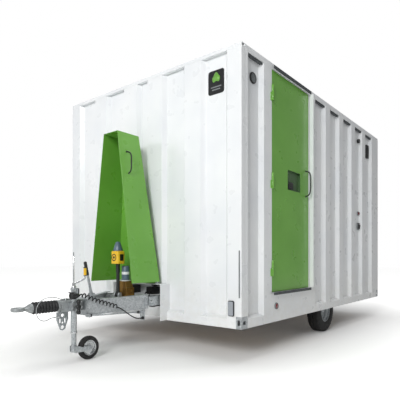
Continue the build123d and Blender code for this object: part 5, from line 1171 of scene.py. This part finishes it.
if orange.faces:
    piece("plates_orange", orange, amber_lens, "cabin")
print("plates:", len(plates))

# %% [markdown]
# ## Door and hood details
# Dark grey strips over and under the door are painted shadow, standing for the shade in the gaps above and
# below the leaf, and a thin strip under the frame's head is a seal. A thin white trim stands at its rear
# jamb, where it catches the light. The strips are cut from the frame's own sizes, clear of the leaf as it
# swings.

# %% Door seal, painted shadow strips and jamb trim
# This dark grey is painted shade over and under the door and at the heads of the corrugations, and also a
# thin seal under the door frame's head.
seal_and_shade_grey = moulded("grey_seal_and_painted_shade", "#3E4245", "#4A4E51", (0.6, 0.75))
leaf_low, leaf_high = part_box("door_leaf")
STRIP_GAP, HEADER_SHADE_STRIP, SILL_SHADE_STRIP = 0.0008, 0.028, 0.026  # clear of the leaf, then the strips' heights
SEAL_FACE = 0.0034  # thickness of the strip on the underside of the frame's head
SHADE_STRIP_DEPTH = (0.004, 0.0015)  # how far a strip goes into the wall's face and stands out of it
TRIM_GAP, TRIM = 0.0045, 0.003  # clear of the leaf, and its thickness
TRIM_DEPTH = (0.020, 0.022)  # how far the trim goes in and stands out
y_low, y_high, z_low, z_high = leaf_low.y, leaf_high.y, leaf_low.z, leaf_high.z
wall_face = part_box("door_frame")[1].x
back, proud = wall_face - SHADE_STRIP_DEPTH[0], wall_face + SHADE_STRIP_DEPTH[1]
mesh = bmesh.new()
# Painted shadow strips on the wall's face over and under the door, and a thin seal under the frame's head
# between them.
box_between(mesh, (back, y_low, z_high + STRIP_GAP), (proud, y_high, z_high + HEADER_SHADE_STRIP))
box_between(mesh, (leaf_high.x + 0.002, y_low, z_high + STRIP_GAP),
            (back - 0.0005, y_high, z_high + SEAL_FACE))
box_between(mesh, (back, y_low, z_low - SILL_SHADE_STRIP), (proud, y_high, z_low - STRIP_GAP))
piece("door_seal_and_painted_shade_strips", mesh, seal_and_shade_grey, "cabin", bevel=0.0004)
mesh = bmesh.new()
box_between(mesh, (wall_face - TRIM_DEPTH[0], y_high + TRIM_GAP, z_low),
            (wall_face + TRIM_DEPTH[1], y_high + TRIM_GAP + TRIM, z_high))
piece("door_jamb_trim", mesh, white_enamel, "cabin", bevel=0.0005)
print("door from", round(z_low, 3), "to", round(z_high, 3), "wall's face at", round(wall_face, 3))

# %% [markdown]
# The corrugations end under the roof rail, where a strip of the same dark grey paints the shade inside the
# head of each hollow.
# The hollows are found from the wall itself: they lie between the flat ridges that are furthest out.

# %% Painted shade at the heads of the corrugations
HEAD_SHADE_STRIP = (0.017, 0.007)  # height of the painted shade strip, and how far it stays inside the wall's face
SLOPE = 0.013  # part of a sloped side that the painted shade strip leaves free
mesh = bmesh.new()
for name in ("door_side_wall_front", "door_side_wall_rear"):
    spots = [nodes[name].matrix_world @ vertex.co for vertex in nodes[name].data.vertices]
    outer, top = max(spot.x for spot in spots), max(spot.z for spot in spots)
    edges = sorted({round(spot.y, 3) for spot in spots if abs(spot.x - outer) < 1 * MM
                    and spot.z > top - 0.3})
    for start, end in zip(edges[1:-1:2], edges[2::2]):  # each hollow, between two flat ridges
        box_between(mesh, (outer - 0.03, start + SLOPE, top - HEAD_SHADE_STRIP[0]),
                    (outer - HEAD_SHADE_STRIP[1], end - SLOPE, top - 0.001))
    print(name, "hollows", len(edges) // 2 - 1)
# a dark strip in the head of each hollow, painted shade under the roof rail
piece("header_painted_shade", mesh, seal_and_shade_grey, "cabin", bevel=0.0004)

# %% [markdown]
# The handles of the door and the hood are bows of black round bar. Each stands on two small turned feet, in
# the place that the engineering model gives it.

# %% Handles
BOW_RADIUS = 0.0062


def bow(name, node, body, out, finish):
    """A bow handle in the place of a node: two feet and a curved bar that stands out from them."""
    low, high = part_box(node)
    middle, size = (low + high) / 2, high - low
    near = middle - Vector(out) * (size.x / 2)
    tip = middle + Vector(out) * (size.x / 2 - 0.0065)
    reach = size.z / 2
    line = [near + Vector((0, 0, reach - 0.010)), near * 0.6 + tip * 0.4 + Vector((0, 0, reach - 0.012)),
            tip + Vector((0, 0, reach - 0.040)), tip, tip + Vector((0, 0, -reach + 0.040)),
            near * 0.6 + tip * 0.4 + Vector((0, 0, -reach + 0.012)), near + Vector((0, 0, -reach + 0.010))]
    piece(name + "_bar", bar(line, BOW_RADIUS), finish, body, (node,))
    mesh = bmesh.new()
    for end in (-1, 1):
        foot = near + Vector((0, 0, end * (reach - 0.010)))
        turn(mesh, [(0.0, 0.0), (0.0, 0.0098), (0.003, 0.0095), (0.005, 0.0075), (0.005, 0.0)], foot, out, 24)
    piece(name + "_feet", mesh, finish, body)
    return middle


print("door handle",
      [round(v, 3) for v in bow("door_handle", "door_pull_handle", "door", (1, 0, 0), powder_coat)])
print("hood handle", [round(v, 3) for v in bow("hood_grip", "hood_handle", "hood", (1, 0, 0), powder_coat)])

# %% [markdown]
# The lock's recess gets a deeper green, as it lies in shade, and the lifting eyes are black. A few nuts hold
# the drawbar's pins and the hood's hinge pin, and a collar closes the jockey tube.

# %% Deeper green, black eyes and the last bolts
shaded_green = enamel("green_enamel_in_shade", "#33552A", "#3A5E2F", "#4C6140")
for name, finish in (("latch_recess", shaded_green), ("door_hinge_pins", green_enamel),
                     ("lifting_eyes", powder_coat)):
    for place in nodes[name].material_slots:
        place.material = finish
mesh = bmesh.new()
pin = hinges["drawbar_hinge"]
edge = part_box("drawbar_brackets")[1].x
for side in (-1, 1):
    bolt(mesh, (side * (edge - 0.0005), pin.y, pin.z), (side, 0, 0), 0.016)
low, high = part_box("hood_hinge_pin")
for side, x in ((-1, low.x), (1, high.x)):
    bolt(mesh, (x, (low.y + high.y) / 2, hinges["hood_hinge"].z), (side, 0, 0), 0.010)
tube_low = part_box("jockey_outer_tube")[0]
turn(mesh, [(0.0, 0.0246), (0.0, 0.0268), (0.010, 0.0268), (0.012, 0.0246)],
     (hinges["jockey_winding"].x, hinges["jockey_winding"].y, tube_low.z + 0.0005), (0, 0, 1), 48,
     closed=True)
piece("pin_nuts", mesh, zinc_plate, "drawbar", bevel=0.0006)

# %% [markdown]
# ## Floor and light
# A studio shot of something this big uses a seamless white floor and large soft lights. The key light
# stands high in front, a little to the door side, so the front wall is the brightest face. It grazes the
# door side, where the slopes that face forwards turn white and the flats stay grey. A weaker light fills
# the hood from the far side, and the floor glows more with distance, so that it meets the background.

# %% Floor
floor_finish, tree, shader, place = start_finish("studio_floor", Roughness=0.75)
tone = blend_colours(tree, mottle(tree, place, 1.5, 0.0, 1.0), "#F3F3F2", "#F6F6F5")
tree.links.new(tone, shader.inputs["Base Color"])
FOOTPRINT = (1.7, 0.9, 0.0)  # the body is about twice as long as it is wide
oval = add(tree, "VectorMath", {0: place, 1: FOOTPRINT}, operation="MULTIPLY").outputs["Vector"]
reach = add(tree, "VectorMath", {0: oval}, operation="LENGTH").outputs["Value"]
glow = add(tree, "MapRange",
           {"Value": reach, "From Min": 2.0, "From Max": 4.8, "To Min": 0.05, "To Max": 0.7})
direct = add(tree, "LightPath").outputs["Is Camera Ray"]  # so that the glow lights nothing else
shown = add(tree, "Math", {0: glow.outputs["Result"], 1: direct}, operation="MULTIPLY").outputs["Value"]
tree.links.new(shown, shader.inputs["Emission Strength"])
shader.inputs["Emission Color"].default_value = (1.0, 1.0, 1.0, 1.0)
ground = bmesh.new()
bmesh.ops.create_grid(ground, x_segments=8, y_segments=8, size=30.0)
floor_mesh = bpy.data.meshes.new("floor")
ground.to_mesh(floor_mesh)
ground.free()
floor_mesh.materials.append(floor_finish)
floor = bpy.data.objects.new("floor", floor_mesh)
bpy.context.scene.collection.objects.link(floor)
print("floor", round(floor.dimensions.x, 1), "m across")

# %% Lights
TARGET = Vector((0.0, 0.4, 1.1))
LIGHTS = {"key": ((3.4, -8.6, 4.6), 3.0, 500.0), "fill": ((-5.0, -6.0, 3.5), 3.5, 60.0),
          "top": ((0.0, 0.5, 7.5), 5.0, 300.0)}
for name, (place, size, power) in LIGHTS.items():
    lamp = bpy.data.lights.new(name, "AREA")
    lamp.shape = "DISK"
    lamp.size = size
    lamp.energy = power
    holder = bpy.data.objects.new(name, lamp)
    holder.location = place
    holder.rotation_euler = (TARGET - Vector(place)).to_track_quat("-Z", "Y").to_euler()
    bpy.context.scene.collection.objects.link(holder)
world = bpy.data.worlds.new("studio")
world.use_nodes = True
sky = world.node_tree
seen = add(sky, "LightPath").outputs["Is Camera Ray"]
level = add(sky, "MapRange", {"Value": seen, "To Min": 0.3, "To Max": 1.0}).outputs["Result"]
sky.links.new(level, sky.nodes["Background"].inputs["Strength"])
sky.nodes["Background"].inputs["Color"].default_value = (1.0, 1.0, 1.0, 1.0)
bpy.context.scene.world = world
bpy.context.scene.view_settings.view_transform = "Standard"
print("lights:", list(LIGHTS))
